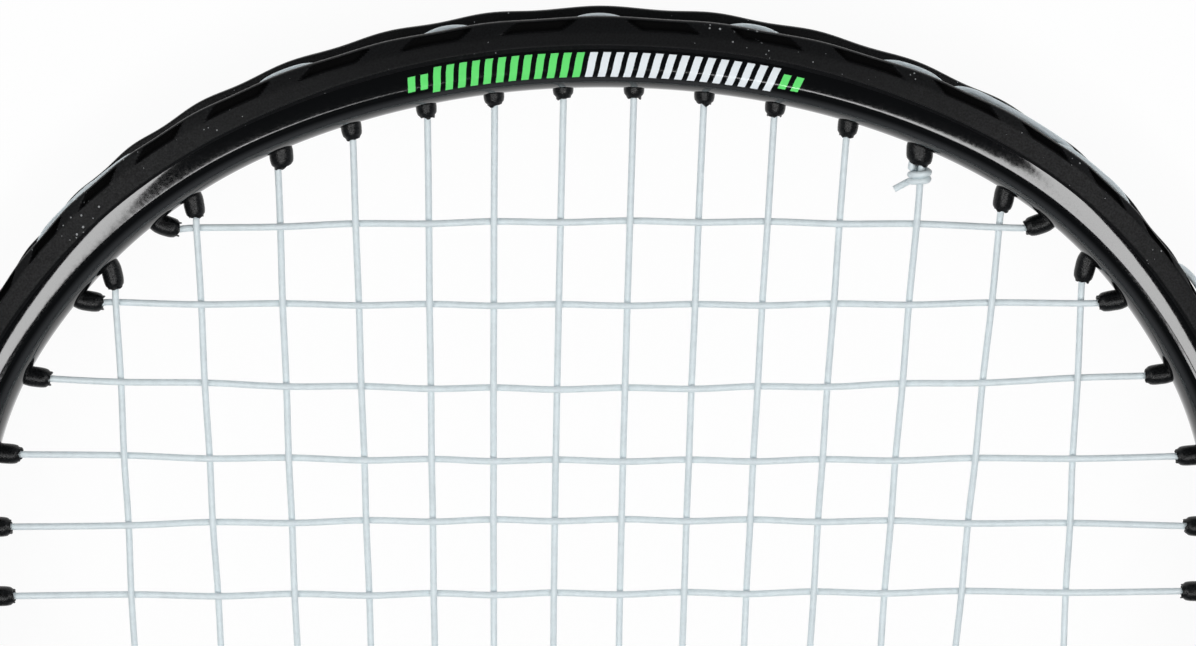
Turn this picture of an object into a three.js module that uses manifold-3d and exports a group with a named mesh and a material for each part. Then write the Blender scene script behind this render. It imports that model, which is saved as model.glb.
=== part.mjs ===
// Crossminton racket: a bent aluminium frame tube closed by a moulded throat bridge,
// a bumper and grommet strips, a woven string bed, and a two-shell handle with a wrapped grip.
// Millimetres. It lies flat: +Y points to the tip of the head, +Z out of the string face.
// The origin is under the middle of the racket, on the surface that it lies on.

import * as THREE from 'three';
import { mergeVertices } from 'three/addons/utils/BufferGeometryUtils.js';
import Module from 'manifold-3d';

const wasm = await Module();
wasm.setup();

// Driving dimensions

const racketLength = 585;

// Clearances
const fit = 0.3; // between two pieces that touch on the real racket
const overrun = 1; // how far a cutter runs past what it cuts

// Head outline: half an ellipse above the widest line, one long curve down each arm
const headInnerHalfWidth = 96;
const headInnerRise = 72.8; // widest line to the inner edge at the tip
const armUpperPull = 160; // how far the arm keeps the direction of the head's side
const armLowerPull = 60; // how far it keeps the direction of the shaft
const throatLength = 128; // middle of the throat bridge down to the top of the shaft
const shaftEnd = 21;
const shaftGap = 1; // between the two tubes inside the handle

// Frame tube section: rounded, a little flatter on the face that carries the grommet strips
const tubeInnerHalf = 4.7;
const tubeOuterHalf = 4.1;
const tubeHalfHeight = 6;
const tubeWall = 0.85;
const roundness = 2.4; // exponent of the rounded section

// Bumper guard round the top of the head
const bumperReach = 2; // the flank's lower edge, outward from the tube's centreline
const bumperLipHalf = 6.5;
const bumperShoulder = 4.75;
const bumperShoulderHalf = 5.75;
const bumperRim = 6.4;
const bumperRimHalf = 4.75;
const rimThickness = 1.2;
const grooveHalf = 3.1;
const floorThickness = 0.55;

// Slanted slots in the bumper's flanks
const slotLength = 9.6;
const slotSlant = 2.3;
const slotFloorHalf = 4.2; // half height where the slot's floor lies
const slotRimLand = 0.25; // material left between a slot and the rim
const slotShoulderLand = 0.15; // and between a slot and the shoulder

// Side and throat grommet strips
const stripReach = 3;
const stripRim = 6;
const stripHalf = 3.9;
const stripRimThickness = 0.7;
const stripGap = 8.5; // between a side strip's end and the head of the bridge rivet below it

// Grommet barrels
const barrelRadius = 1.45;
const barrelTipRadius = 1.05;
const barrelLength = 2.4; // beyond the tube's inner face
const boreRadius = 0.8;
const wideBoreRadius = 0.9;
const wideStretch = 2; // a tie-off grommet is this much longer along the frame

// Strings
const stringRadius = 0.51;
const weaveHeight = 0.66; // how far a string rises and dips at each crossing
const stringSeat = 0.22; // between a string and the groove's floor
const laneHalf = 1.3; // two strings that share the groove lie this far off its middle
const bendReach = 0.7; // how soon a string lies down once it leaves a grommet
const laneReach = 2.4; // how soon it has moved over to its lane
const tipLead = 0.4; // how far a string runs straight out of a barrel
const tieSpread = 0.8; // half the distance between two strings in a tie-off grommet
const bedLength = 263.7; // between the frame's inner edges at the tip and the throat
const bedSway = 1.9; // the mains bow sideways by this much at mid length
const crossBow = 2; // scale of the bow of the cross strings
const knotTurns = 2.25;
const knotPitch = 1.55;
const knotSteps = 8; // points in a turn
const knotLooseness = 0.62;
const knotLead = 1.3;
const tailLength = 3.2;

// Throat bridge
const bridgeSag = 20; // how far its ends, at the arms' centrelines, rise above its middle
const bridgeHalf = 4.2;
const bridgeHalfHeight = 5.3;
const throatStripMargin = 3; // the throat strip runs this far past its last grommets

// Bridge rivets
const rivetDrop = 8.5; // below the bridge's ends
const rivetRadius = 1.1;
const rivetHeadRadius = 2.6;
const rivetHeadHeight = 1.1;
const rivetGrip = 3; // how far the shank enters the bridge
const rivetSides = 8;

// Handle
const coreHalfWidth = 14;
const coreHalfHeight = 12.25;
const coreWall = 2.2;
const coreDrop = 10; // top of the shaft down to the top of the shells
const ribCount = 3;
const ribThickness = 3;
const ribMargin = 14; // first and last rib to the ends of the shells
const capFlange = 6; // thickness of the butt cap's end
const capFlare = 3.4; // how far the butt cap stands out past the core
const capEdge = 1.4; // softened edge at the very end
const capPlugLength = 11;
const capPlugWall = 2;
const capShoulder = 1.6; // the cap's upper edge slopes in over this height
const tackRadius = 0.8;
const tackHeadRadius = 1.7;
const tackHeadHeight = 0.5;
const tackLength = 4;
const tackLevel = 11.5;
const tackSides = 8;
const ferruleHeight = 10;
const ferruleFlange = 3;
const ferruleFoot = 0.8; // the ferrule's foot stands out past the core by this much
const ferruleWall = 1.9;

// Grip, finishing tape and collar
const gripThickness = 1.7;
const gripPitch = 16.8;
const gripSeam = 0.55; // between one turn of the grip and the next
const gripDrop = 16; // top of the shells down to the top of the grip
const gripTip = 2; // width of the cut ends of the grip tape
const tapeThickness = 0.4;
const tapeBelow = 6; // how far the finishing tape covers the grip
const tapeAbove = 9; // how far it runs on over the core
const tapeSlope = 2.5;
const collarHeight = 12;
const collarThickness = 1.3;
const collarLip = 0.6;
const collarLipHeight = 2;

// Counts
const mainCount = 14;
const crossCount = 17;
const headStations = 15; // steps of the outline from the tip to the widest line
const armStations = 14;
const stripStations = 5; // steps of a side strip
const lowerArmStations = 5; // steps of the tube below the side strips
const tubeSides = 12;
const boreSides = 8;
const barrelSides = 5;
const stringSides = 4;
const bridgeSides = 8;
const bridgeStations = 5;

// Shares: where each main string leaves the top of the frame, from the middle outward, of the
// head's inner half width
const mainTopShares = [0.058, 0.166, 0.274, 0.391, 0.507, 0.643, 0.778];
// Where all but the outermost reach the bridge, of the bridge's reach to each side
const mainFootShares = [0.074, 0.223, 0.37, 0.514, 0.651, 0.774];
// Where the outermost reaches the arm, of the head's inner half width
const outerFootShare = 0.764;
// Each cross string's level, of the string bed's length, from the tip downward
const crossLevelShares = [
  0.083, 0.129, 0.175, 0.223, 0.267, 0.311, 0.36, 0.412, 0.464,
  0.517, 0.57, 0.623, 0.676, 0.729, 0.784, 0.839, 0.895,
];
// How each cross string bows at its middle, of crossBow
const crossBowShares = [
  0.55, -0.2, -0.95, -0.45, 0.65, -0.1, 0.2, -0.3, 0.15,
  -0.2, 0.3, -0.15, 0.1, -0.25, 0.2, -0.1, 0.15,
];
// Where the slots lie on each side of the tip, of the quarter turn to the widest line
const slotTurnShares = [0.06, 0.16, 0.262, 0.365, 0.455, 0.535, 0.615, 0.695];
// The handle's octagon: where its corners lie, of its half width and half height
const bevelWidthShare = 0.52;
const bevelHeightShare = 0.45;

// Sizes worked out from the driving dimensions

const headHalfWidth = headInnerHalfWidth + tubeInnerHalf;
const headRise = headInnerRise + tubeInnerHalf;
const widestLine = racketLength - bumperRim - headRise;
const innerTop = widestLine + headInnerRise;
const bridgeCentre = innerTop - bedLength - bridgeHalf;
const shaftTop = bridgeCentre - throatLength;
const coreTop = shaftTop - coreDrop;
const gripTop = coreTop - gripDrop;
const shaftOffset = tubeInnerHalf + shaftGap / 2;
const bumperEnd = headStations + 1;
const stringDiameter = 2 * stringRadius;
const armEnd = headStations + armStations;
const lastStation = armEnd + 1;
const coreBottom = capFlange + fit;
const gripBottom = coreBottom + fit;
const lift = coreHalfHeight + capFlare;

// Looks

function finish(colour, roughness, metalness) {
  return new THREE.MeshStandardMaterial({ color: colour, roughness, metalness });
}

const blackLacquer = finish(0x0d0e11, 0.22, 0.1);
const bumperPlastic = finish(0x2b2c2e, 0.72, 0);
const grommetPlastic = finish(0x17181a, 0.45, 0);
const bridgePlastic = finish(0x141518, 0.4, 0);
const nylon = finish(0xd3dde1, 0.38, 0);
const corePlastic = finish(0x3a3c40, 0.6, 0);
const capPlastic = finish(0x18191b, 0.5, 0);
const gripRubber = finish(0x1d1e20, 0.85, 0);
const tapeVinyl = finish(0x101113, 0.35, 0);
const collarRubber = finish(0x1a1b1d, 0.75, 0);
const rivetMetal = finish(0xb4b8bc, 0.35, 0.9);

// From geometry to solids and back

function solid(geometry) {
  const bare = new THREE.BufferGeometry();
  bare.setAttribute('position', geometry.getAttribute('position'));
  bare.setIndex(geometry.index);
  const merged = mergeVertices(bare);
  const kept = [];
  const index = merged.index.array;
  for (let i = 0; i < index.length; i += 3) {
    const [a, b, c] = [index[i], index[i + 1], index[i + 2]];
    if (a !== b && b !== c && c !== a) kept.push(a, b, c);
  }
  return new wasm.Manifold(new wasm.Mesh({
    numProp: 3,
    vertProperties: new Float32Array(merged.getAttribute('position').array),
    triVerts: new Uint32Array(kept),
  }));
}

function geometryOf(body) {
  const { vertProperties, triVerts } = body.getMesh();
  const geometry = new THREE.BufferGeometry();
  geometry.setAttribute('position', new THREE.BufferAttribute(vertProperties, 3));
  geometry.setIndex(new THREE.BufferAttribute(triVerts, 1));
  geometry.computeVertexNormals();
  return geometry;
}

function joined(bodies) {
  return bodies.reduce((whole, body) => whole.add(body));
}

// Skin over rings of points. Each ring runs anticlockwise about the way the rings advance.
function skin(rings) {
  const sides = rings[0].length;
  const faces = [];
  for (let r = 0; r + 1 < rings.length; r += 1) {
    for (let s = 0; s < sides; s += 1) {
      const a = r * sides + s;
      const b = r * sides + ((s + 1) % sides);
      faces.push(a, b, a + sides, b, b + sides, a + sides);
    }
  }
  const last = (rings.length - 1) * sides;
  for (let s = 1; s + 1 < sides; s += 1) {
    faces.push(0, s + 1, s, last, last + s, last + s + 1);
  }
  const geometry = new THREE.BufferGeometry().setFromPoints(rings.flat());
  geometry.setIndex(faces);
  geometry.computeVertexNormals();
  return geometry;
}

// Where things lie on the frame

const armCurve = new THREE.CubicBezierCurve(
  new THREE.Vector2(headHalfWidth, widestLine),
  new THREE.Vector2(headHalfWidth, widestLine - armUpperPull),
  new THREE.Vector2(shaftOffset, shaftTop + armLowerPull),
  new THREE.Vector2(shaftOffset, shaftTop),
);

// The tube's centreline. Stations count from the tip of the head, positive on the right.
function rimPoint(station) {
  const side = station < 0 ? -1 : 1;
  const steps = Math.abs(station);
  if (steps <= headStations) {
    const turn = ((steps / headStations) * Math.PI) / 2;
    const x = headHalfWidth * Math.sin(turn);
    return new THREE.Vector3(side * x, widestLine + headRise * Math.cos(turn), 0);
  }
  if (steps <= armEnd) {
    const place = armCurve.getPoint((steps - headStations) / armStations);
    return new THREE.Vector3(side * place.x, place.y, 0);
  }
  const down = steps - armEnd;
  return new THREE.Vector3(side * shaftOffset, shaftTop + (shaftEnd - shaftTop) * down, 0);
}

// The bridge's ends lie on the arms' centrelines, and its radius follows from them
const bridgeEnds = rimPoint(stationWhere(
  (s) => rimPoint(s).y, bridgeCentre + bridgeSag, headStations, armEnd));
const bridgeRadius = (bridgeEnds.x ** 2 + bridgeSag ** 2) / (2 * bridgeSag);

// The bridge's centreline. Its stations are angles from its lowest point, positive on the left,
// so that it advances from right to left and its outward side looks at the handle.
function bridgePoint(angle) {
  const x = -bridgeRadius * Math.sin(angle);
  return new THREE.Vector3(x, bridgeCentre + bridgeRadius * (1 - Math.cos(angle)), 0);
}

const nudge = 1e-3;

// A carrier is a centreline with an outward side; on it a place has a station, a distance
// outward from the centreline and a height.
function carrier(point, inner, outer) {
  const velocity = (station) => point(station + nudge).sub(point(station - nudge))
    .divideScalar(2 * nudge);
  const outward = (station) => {
    const along = velocity(station).normalize();
    return new THREE.Vector3(-along.y, along.x, 0);
  };
  const at = (station, out, height) => point(station)
    .addScaledVector(outward(station), out)
    .add(new THREE.Vector3(0, 0, height));
  const step = (station, distance) => station + distance / velocity(station).length();
  return { point, velocity, at, step, inner, outer, floor: outer + fit + floorThickness };
}

const rim = carrier(rimPoint, tubeInnerHalf, tubeOuterHalf);
const bridge = carrier(bridgePoint, bridgeHalf, bridgeHalf);

// Path of a sweep through a list of stations
class StationPath extends THREE.Curve {
  constructor(on, stations) {
    super();
    this.on = on;
    this.stations = stations;
  }

  getPoint(t) {
    const place = Math.min(Math.max(t, 0), 1) * (this.stations.length - 1);
    const index = Math.min(Math.floor(place), this.stations.length - 2);
    const [from, to] = [this.stations[index], this.stations[index + 1]];
    return this.on.point(from + (to - from) * (place - index));
  }

  getPointAt(t) {
    return this.getPoint(t);
  }

  getTangentAt(t, target) {
    return this.getTangent(t, target);
  }
}

function sweep(section, on, stations) {
  const extrudePath = new StationPath(on, stations);
  return new THREE.ExtrudeGeometry(section, { steps: stations.length - 1, extrudePath });
}

function stationsBetween(from, to, steps = to - from) {
  return Array.from({ length: steps + 1 }, (_, i) => from + ((to - from) * i) / steps);
}

// Finds the station between two others where a measure reaches its target
function stationWhere(measure, target, from, to) {
  let [low, high] = [from, to];
  const rising = measure(to) > measure(from);
  for (let i = 0; i < 50; i += 1) {
    const middle = (low + high) / 2;
    if (measure(middle) < target === rising) low = middle;
    else high = middle;
  }
  return (low + high) / 2;
}

// Sections, with x down and y outward, as a sweep lays them

function roundedSection(outer, inner, halfHeight, sides) {
  const power = 2 / roundness;
  const flat = Math.cos(Math.PI / sides) ** power;
  const points = [];
  for (let i = 0; i < sides; i += 1) {
    const angle = ((2 * i + 1) * Math.PI) / sides;
    const out = (Math.sign(Math.cos(angle)) * Math.abs(Math.cos(angle)) ** power) / flat;
    const up = (Math.sign(Math.sin(angle)) * Math.abs(Math.sin(angle)) ** power) / flat;
    points.push(new THREE.Vector2(up * halfHeight, out * (out > 0 ? outer : inner)));
  }
  return points;
}

function tubeSection(growth) {
  const section = roundedSection(
    tubeOuterHalf + growth, tubeInnerHalf + growth, tubeHalfHeight + growth, tubeSides);
  return new THREE.Shape(section);
}

// Mirrors one half of an outline, given as [outward, height] pairs from the base to the middle
function mirroredSection(half) {
  const right = half.map(([out, height]) => new THREE.Vector2(height, out));
  const left = half.map(([out, height]) => new THREE.Vector2(-height, out)).reverse();
  return new THREE.Shape([...right, ...left]);
}

function stripSection(on) {
  return mirroredSection([
    [stripReach, stripHalf],
    [stripRim, stripHalf],
    [stripRim, stripHalf - stripRimThickness],
    [on.floor, stripHalf - stripRimThickness],
  ]);
}

// String positions

const tieMain = mainCount - 3;
const leftTieCross = crossCount - 3;
const rightTieCross = crossCount - 2;
const endTieCross = crossCount - 2;
const outerRank = mainCount / 2 - 1;

const sideOf = (main) => (main < mainCount / 2 ? -1 : 1);
const rankOf = (main) => (main < mainCount / 2 ? outerRank - main : main - mainCount / 2);
const mainTopX = (main) => sideOf(main) * mainTopShares[rankOf(main)] * headInnerHalfWidth;
const mainFootX = (main) => sideOf(main) * (rankOf(main) < outerRank
  ? mainFootShares[rankOf(main)] * bridgeEnds.x
  : outerFootShare * headInnerHalfWidth);
const tipDepth = (on) => -(on.inner + barrelLength);

// A hole on the rim, with a barrel through it square to the frame. A wide one holds a guest
// string beside its own, and its own lies off the axis by ownShift, along the frame.
function rimHole(station, wide = false, ownShift = 0) {
  const along = rim.velocity(station).normalize();
  const axis = (out, shift) => rim.at(station, out, 0).addScaledVector(along, shift);
  return { on: rim, station, runStation: station, along, axis, wide, ownShift };
}

// A hole in the bridge runs along its main string, not square to the bridge
function bridgeHole(x) {
  const angleAt = (out) => Math.asin(-x / (bridgeRadius + out));
  const along = new THREE.Vector3(-1, 0, 0);
  const axis = (out, shift) => bridge.at(angleAt(out), out, 0).addScaledVector(along, shift);
  const runStation = angleAt(bridge.floor);
  return { on: bridge, station: angleAt(0), runStation, along, axis, wide: false, ownShift: 0 };
}

const tipOnRim = (station) => rim.at(station, tipDepth(rim), 0);

function topHole(main) {
  const station = stationWhere((s) => tipOnRim(s).x, mainTopX(main), -headStations, headStations);
  const isWide = rankOf(main) === rankOf(tieMain);
  return rimHole(station, isWide, main === tieMain ? -tieSpread : 0);
}

function crossHole(cross, side) {
  const level = innerTop - crossLevelShares[cross] * bedLength;
  const lowest = headStations + armStations / 2;
  const station = side * stationWhere((s) => tipOnRim(side * s).y, level, 1, lowest);
  if (side < 0 && cross === leftTieCross) return rimHole(station, true, -tieSpread);
  if (side < 0 && cross === endTieCross) return rimHole(station, true, tieSpread);
  if (side > 0 && cross === rightTieCross) return rimHole(station, true, tieSpread);
  return rimHole(station);
}

function footHole(main) {
  if (rankOf(main) < outerRank) return bridgeHole(mainFootX(main));
  const side = sideOf(main);
  const lowest = headStations + armStations / 2;
  return rimHole(side * stationWhere(
    (s) => side * tipOnRim(side * s).x, side * mainFootX(main), headStations, lowest));
}

const mains = Array.from({ length: mainCount }, (_, i) => i);
const crosses = Array.from({ length: crossCount }, (_, j) => j);
const topHoles = mains.map(topHole);
const footHoles = mains.map(footHole);
const leftHoles = crosses.map((cross) => crossHole(cross, -1));
const rightHoles = crosses.map((cross) => crossHole(cross, 1));
const bridgeHoles = footHoles.filter((hole) => hole.on === bridge);
const armFeet = footHoles.filter((hole) => hole.on === rim);
const rimHoles = [...topHoles, ...leftHoles, ...rightHoles, ...armFeet];

const ownTip = (hole) => hole.axis(tipDepth(hole.on), hole.ownShift);

function mainX(main, y) {
  const [top, foot] = [ownTip(topHoles[main]), ownTip(footHoles[main])];
  const share = (top.y - y) / (top.y - foot.y);
  const sway = rankOf(main) === outerRank ? 0 : bedSway * Math.sin(Math.PI * share);
  return top.x + (foot.x - top.x) * share - sway;
}

function crossY(cross, x) {
  const [left, right] = [ownTip(leftHoles[cross]), ownTip(rightHoles[cross])];
  const share = (x - left.x) / (right.x - left.x);
  const bow = crossBowShares[cross] * crossBow * 4 * share * (1 - share);
  return left.y + (right.y - left.y) * share + bow;
}

// Where a main and a cross meet, and the main's height there; the cross has the opposite one
function meeting(main, cross) {
  let y = ownTip(leftHoles[cross]).y;
  let x = 0;
  for (let i = 0; i < 4; i += 1) {
    x = mainX(main, y);
    y = crossY(cross, x);
  }
  const mainIsOver = (main + cross) % 2 === 1;
  return new THREE.Vector3(x, y, mainIsOver ? weaveHeight : -weaveHeight);
}

function doMeet(main, cross) {
  const { x, y } = meeting(main, cross);
  const onMain = y < ownTip(topHoles[main]).y && y > ownTip(footHoles[main]).y;
  return onMain && x > ownTip(leftHoles[cross]).x && x < ownTip(rightHoles[cross]).x;
}

// A main's points from the top down, and a cross's from left to right

function mainStrand(main) {
  return crosses.filter((cross) => doMeet(main, cross)).map((cross) => meeting(main, cross));
}

function crossStrand(cross) {
  return mains.filter((main) => doMeet(main, cross))
    .map((main) => meeting(main, cross).multiply(new THREE.Vector3(1, 1, -1)));
}

// Through a grommet from outside to inside

function passIn(hole, shift = hole.ownShift) {
  const { on, axis } = hole;
  return [axis(on.floor + fit, shift), axis(tipDepth(on) - tipLead, shift)];
}

function passOut(hole, shift = hole.ownShift) {
  return passIn(hole, shift).reverse();
}

// Along the groove from one hole to the next, in a lane off its middle
function run(from, to, lane, fromShift = from.ownShift, toShift = to.ownShift) {
  const { on } = from;
  const out = on.floor + stringRadius + stringSeat;
  const way = Math.sign(to.runStation - from.runStation);
  const start = on.step(from.runStation, fromShift);
  const end = on.step(to.runStation, toShift);
  const first = on.step(start, way * laneReach);
  const last = on.step(end, -way * laneReach);
  const length = on.at(first, 0, 0).distanceTo(on.at(last, 0, 0));
  const pieces = Math.max(1, Math.round(length / (3 * laneReach)));
  const points = [on.at(on.step(start, way * bendReach), out, lane / 3)];
  for (let i = 0; i <= pieces; i += 1) {
    points.push(on.at(first + ((last - first) * i) / pieces, out, lane));
  }
  points.push(on.at(on.step(end, -way * bendReach), out, lane / 3));
  return points;
}

// A tie-off: the guest string of a wide grommet winds round the other, which leaves the
// barrel towards a given point, and ends in a short tail.
function knot(hole, heldTowards, wayRound) {
  const held = hole.axis(tipDepth(hole.on) - tipLead, hole.ownShift);
  const ahead = heldTowards.clone().sub(held).normalize();
  const toGuest = hole.along.clone().multiplyScalar(-Math.sign(hole.ownShift));
  const aside = toGuest.addScaledVector(ahead, -toGuest.dot(ahead)).normalize();
  const across = ahead.clone().cross(aside).multiplyScalar(wayRound);
  const radius = stringDiameter + knotLooseness;
  const steps = Math.round(knotTurns * knotSteps);
  const points = [];
  for (let i = 0; i <= steps; i += 1) {
    const angle = (2 * Math.PI * i) / knotSteps;
    points.push(held.clone()
      .addScaledVector(ahead, knotLead + (knotPitch * i) / knotSteps)
      .addScaledVector(aside, radius * Math.cos(angle))
      .addScaledVector(across, radius * Math.sin(angle)));
  }
  const leaving = points[steps].clone().sub(points[steps - 1]).normalize();
  points.push(points[steps].clone().addScaledVector(leaving, tailLength));
  return points;
}

// One string makes all the mains: it starts at the left tie-off, runs up the first main and
// down the second, and so on to the right tie-off.
function mainStringPath() {
  const [left, right] = [leftHoles[leftTieCross], rightHoles[rightTieCross]];
  const points = [
    ...knot(left, crossStrand(leftTieCross)[0], 1).reverse(),
    ...passOut(left, -left.ownShift),
    ...run(left, footHoles[0], laneHalf, -left.ownShift),
  ];
  mains.forEach((main) => {
    const goesUp = main % 2 === 0;
    const strand = mainStrand(main);
    if (goesUp) {
      points.push(...passIn(footHoles[main]), ...strand.reverse(), ...passOut(topHoles[main]));
    } else {
      points.push(...passIn(topHoles[main]), ...strand, ...passOut(footHoles[main]));
    }
    if (main === mainCount - 1) return;
    const holes = goesUp ? topHoles : footHoles;
    const sharesGroove = goesUp && (main === 0 || main === mainCount - 2);
    points.push(...run(holes[main], holes[main + 1], sharesGroove ? laneHalf : 0));
  });
  points.push(
    ...run(footHoles[mainCount - 1], right, laneHalf, 0, -right.ownShift),
    ...passIn(right, -right.ownShift),
    ...knot(right, crossStrand(rightTieCross).at(-1), -1),
  );
  return points;
}

// The other string makes the crosses: it starts at a knot on a main, near the tip, runs
// outside to the first cross and snakes down to the left tie-off.
function crossStringPath() {
  const start = topHoles[tieMain];
  const end = leftHoles[endTieCross];
  const points = [
    ...knot(start, mainStrand(tieMain)[0], 1).reverse(),
    ...passOut(start, -start.ownShift),
    ...run(start, rightHoles[0], -laneHalf, -start.ownShift),
  ];
  crosses.forEach((cross) => {
    const goesLeft = cross % 2 === 0;
    const strand = crossStrand(cross);
    const [left, right] = [leftHoles[cross], rightHoles[cross]];
    if (goesLeft) points.push(...passIn(right), ...strand.reverse(), ...passOut(left));
    else points.push(...passIn(left), ...strand, ...passOut(right));
    if (cross === crossCount - 1) return;
    const holes = goesLeft ? leftHoles : rightHoles;
    points.push(...run(holes[cross], holes[cross + 1], -laneHalf));
  });
  points.push(
    ...run(leftHoles[crossCount - 1], end, -laneHalf, 0, -end.ownShift),
    ...passIn(end, -end.ownShift),
    ...knot(end, crossStrand(endTieCross)[0], 1),
  );
  return points;
}

// A string as a tube through its points
function stringTube(points) {
  let normal = new THREE.Vector3(0, 0, 1);
  return skin(points.map((point, i) => {
    const next = points[Math.min(i + 1, points.length - 1)];
    const ahead = next.clone().sub(points[Math.max(i - 1, 0)]).normalize();
    normal = normal.clone().addScaledVector(ahead, -normal.dot(ahead)).normalize();
    const aside = ahead.clone().cross(normal);
    return Array.from({ length: stringSides }, (_, side) => {
      const angle = (2 * Math.PI * side) / stringSides;
      return point.clone()
        .addScaledVector(normal, stringRadius * Math.cos(angle))
        .addScaledVector(aside, stringRadius * Math.sin(angle));
    });
  }));
}

// The least gap between two strings, or between a string and its own other stretches
function leastGap(pathA, pathB) {
  const spaced = (points) => {
    const list = [];
    let travelled = 0;
    for (let i = 0; i + 1 < points.length; i += 1) {
      const length = points[i].distanceTo(points[i + 1]);
      const pieces = Math.ceil(length / stringRadius);
      for (let k = 0; k < pieces; k += 1) {
        const point = points[i].clone().lerp(points[i + 1], k / pieces);
        list.push({ point, travelled: travelled + (length * k) / pieces });
      }
      travelled += length;
    }
    return list;
  };
  const first = spaced(pathA);
  const second = spaced(pathB);
  const apart = Math.PI * stringDiameter;
  let least = Infinity;
  first.forEach((a) => second.forEach((b) => {
    if (pathA === pathB && Math.abs(a.travelled - b.travelled) < apart) return;
    least = Math.min(least, a.point.distanceTo(b.point));
  }));
  return least - stringDiameter;
}

// Grommets

// Puts a shape made along +Y, with its width along X, between two points
function between(geometry, from, to, along) {
  const way = to.clone().sub(from).normalize();
  const across = along.clone().cross(way);
  return geometry.applyMatrix4(new THREE.Matrix4().makeBasis(along, way, across).setPosition(from));
}

function barrel(hole) {
  const from = hole.axis(hole.on.floor - floorThickness / 2, 0);
  const to = hole.axis(tipDepth(hole.on), 0);
  const length = from.distanceTo(to);
  const shape = new THREE.CylinderGeometry(barrelTipRadius, barrelRadius, length, barrelSides);
  shape.translate(0, length / 2, 0);
  shape.scale(hole.wide ? wideStretch : 1, 1, 1);
  return solid(between(shape, from, to, hole.along));
}

function bore(hole) {
  const from = hole.axis(hole.on.floor + overrun, 0);
  const to = hole.axis(tipDepth(hole.on) - overrun, 0);
  const length = from.distanceTo(to);
  const radius = hole.wide ? wideBoreRadius : boreRadius;
  const shape = new THREE.CylinderGeometry(radius, radius, length, barrelSides);
  shape.translate(0, length / 2, 0);
  shape.scale(hole.wide ? wideStretch : 1, 1, 1);
  return solid(between(shape, from, to, hole.along));
}

// The square hole that a barrel passes through in the tube or the bridge
function drilling(hole) {
  const from = hole.axis(hole.on.outer + overrun, 0);
  const to = hole.axis(-hole.on.inner - overrun, 0);
  const length = from.distanceTo(to);
  const width = 2 * (barrelRadius * (hole.wide ? wideStretch : 1) + fit);
  const shape = new THREE.BoxGeometry(width, length, 2 * (barrelRadius + fit));
  shape.translate(0, length / 2, 0);
  return solid(between(shape, from, to, hole.along));
}

// The tube's whole length, and the room that the pieces round it leave for it

const rivetStation = stationWhere(
  (s) => rimPoint(s).y, bridgeEnds.y - rivetDrop, headStations, armEnd);
const stripEnd = rim.step(rivetStation, -(rivetHeadRadius + stripGap));

const oneArm = [
  ...stationsBetween(bumperEnd, stripEnd, stripStations).slice(1),
  ...stationsBetween(stripEnd, armEnd, lowerArmStations).slice(1)];
const bentRim = [
  ...oneArm.map((station) => -station).reverse(),
  ...stationsBetween(-bumperEnd, bumperEnd), ...oneArm];
const wholeRim = [-lastStation, ...bentRim, lastStation];
const longRim = [
  rim.step(-lastStation, -overrun), ...bentRim, rim.step(lastStation, overrun)];
const tubeRoom = solid(sweep(tubeSection(fit), rim, longRim));

function rivetCylinder(side, radius, from, to) {
  const station = side * rivetStation;
  const along = rim.velocity(station).normalize();
  const shape = new THREE.CylinderGeometry(radius, radius, to - from, rivetSides);
  shape.translate(0, (to - from) / 2, 0);
  return solid(between(shape, rim.at(station, to, 0), rim.at(station, from, 0), along));
}

const rivetDepth = -(tubeInnerHalf + fit + rivetGrip);

function rivetHole(side) {
  return rivetCylinder(side, rivetRadius + fit, rivetDepth - fit, tubeOuterHalf + overrun);
}

function frameTube() {
  const hollowSection = new THREE.Shape(roundedSection(
    tubeOuterHalf - tubeWall, tubeInnerHalf - tubeWall, tubeHalfHeight - tubeWall, boreSides));
  const hollow = solid(sweep(hollowSection, rim, longRim));
  return solid(sweep(tubeSection(0), rim, wholeRim))
    .subtract(hollow)
    .subtract(joined(rimHoles.map(drilling)))
    .subtract(rivetHole(-1))
    .subtract(rivetHole(1));
}

// A strip along a carrier: its outline less the room for what it sits on, plus its barrels,
// less the barrels' bores
function grommetStrip(section, on, stations, seat, holes) {
  return joined([solid(sweep(section, on, stations)).subtract(seat), ...holes.map(barrel)])
    .subtract(joined(holes.map(bore)));
}

function slot(station, flank) {
  const along = rim.velocity(station).normalize();
  const half = slotLength / 2;
  const lean = -Math.sign(station) * slotSlant;
  const bottom = bumperShoulder + slotShoulderLand;
  const top = bumperRim - slotRimLand;
  const corners = [
    [-half, bottom], [half, bottom], [half + lean, top], [-half + lean, top]];
  const heights = [slotFloorHalf, bumperShoulderHalf + overrun].map((z) => flank * z);
  return solid(skin(heights.sort((a, b) => a - b).map((height) => corners.map(
    ([shift, out]) => rim.at(station, out, height).addScaledVector(along, shift)))));
}

function bumperGuard() {
  const section = mirroredSection([
    [bumperReach, bumperLipHalf],
    [bumperShoulder, bumperShoulderHalf],
    [bumperRim, bumperRimHalf],
    [bumperRim, bumperRimHalf - rimThickness],
    [rim.floor, grooveHalf],
  ]);
  const holes = rimHoles.filter((hole) => Math.abs(hole.station) < bumperEnd);
  const slots = slotTurnShares.flatMap((share) => [-1, 1].flatMap(
    (side) => [-1, 1].map((flank) => slot(side * share * headStations, flank))));
  return grommetStrip(section, rim, stationsBetween(-bumperEnd, bumperEnd), tubeRoom, holes)
    .subtract(joined(slots));
}

function sideStrip(side) {
  const start = rim.step(side * bumperEnd, side * fit);
  const below = stationsBetween(bumperEnd, stripEnd, stripStations).slice(1);
  const stations = [start, ...below.map((station) => side * station)];
  const holes = rimHoles.filter((hole) => side * hole.station > bumperEnd);
  return grommetStrip(stripSection(rim), rim, stations.sort((a, b) => a - b), tubeRoom, holes);
}

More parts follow.
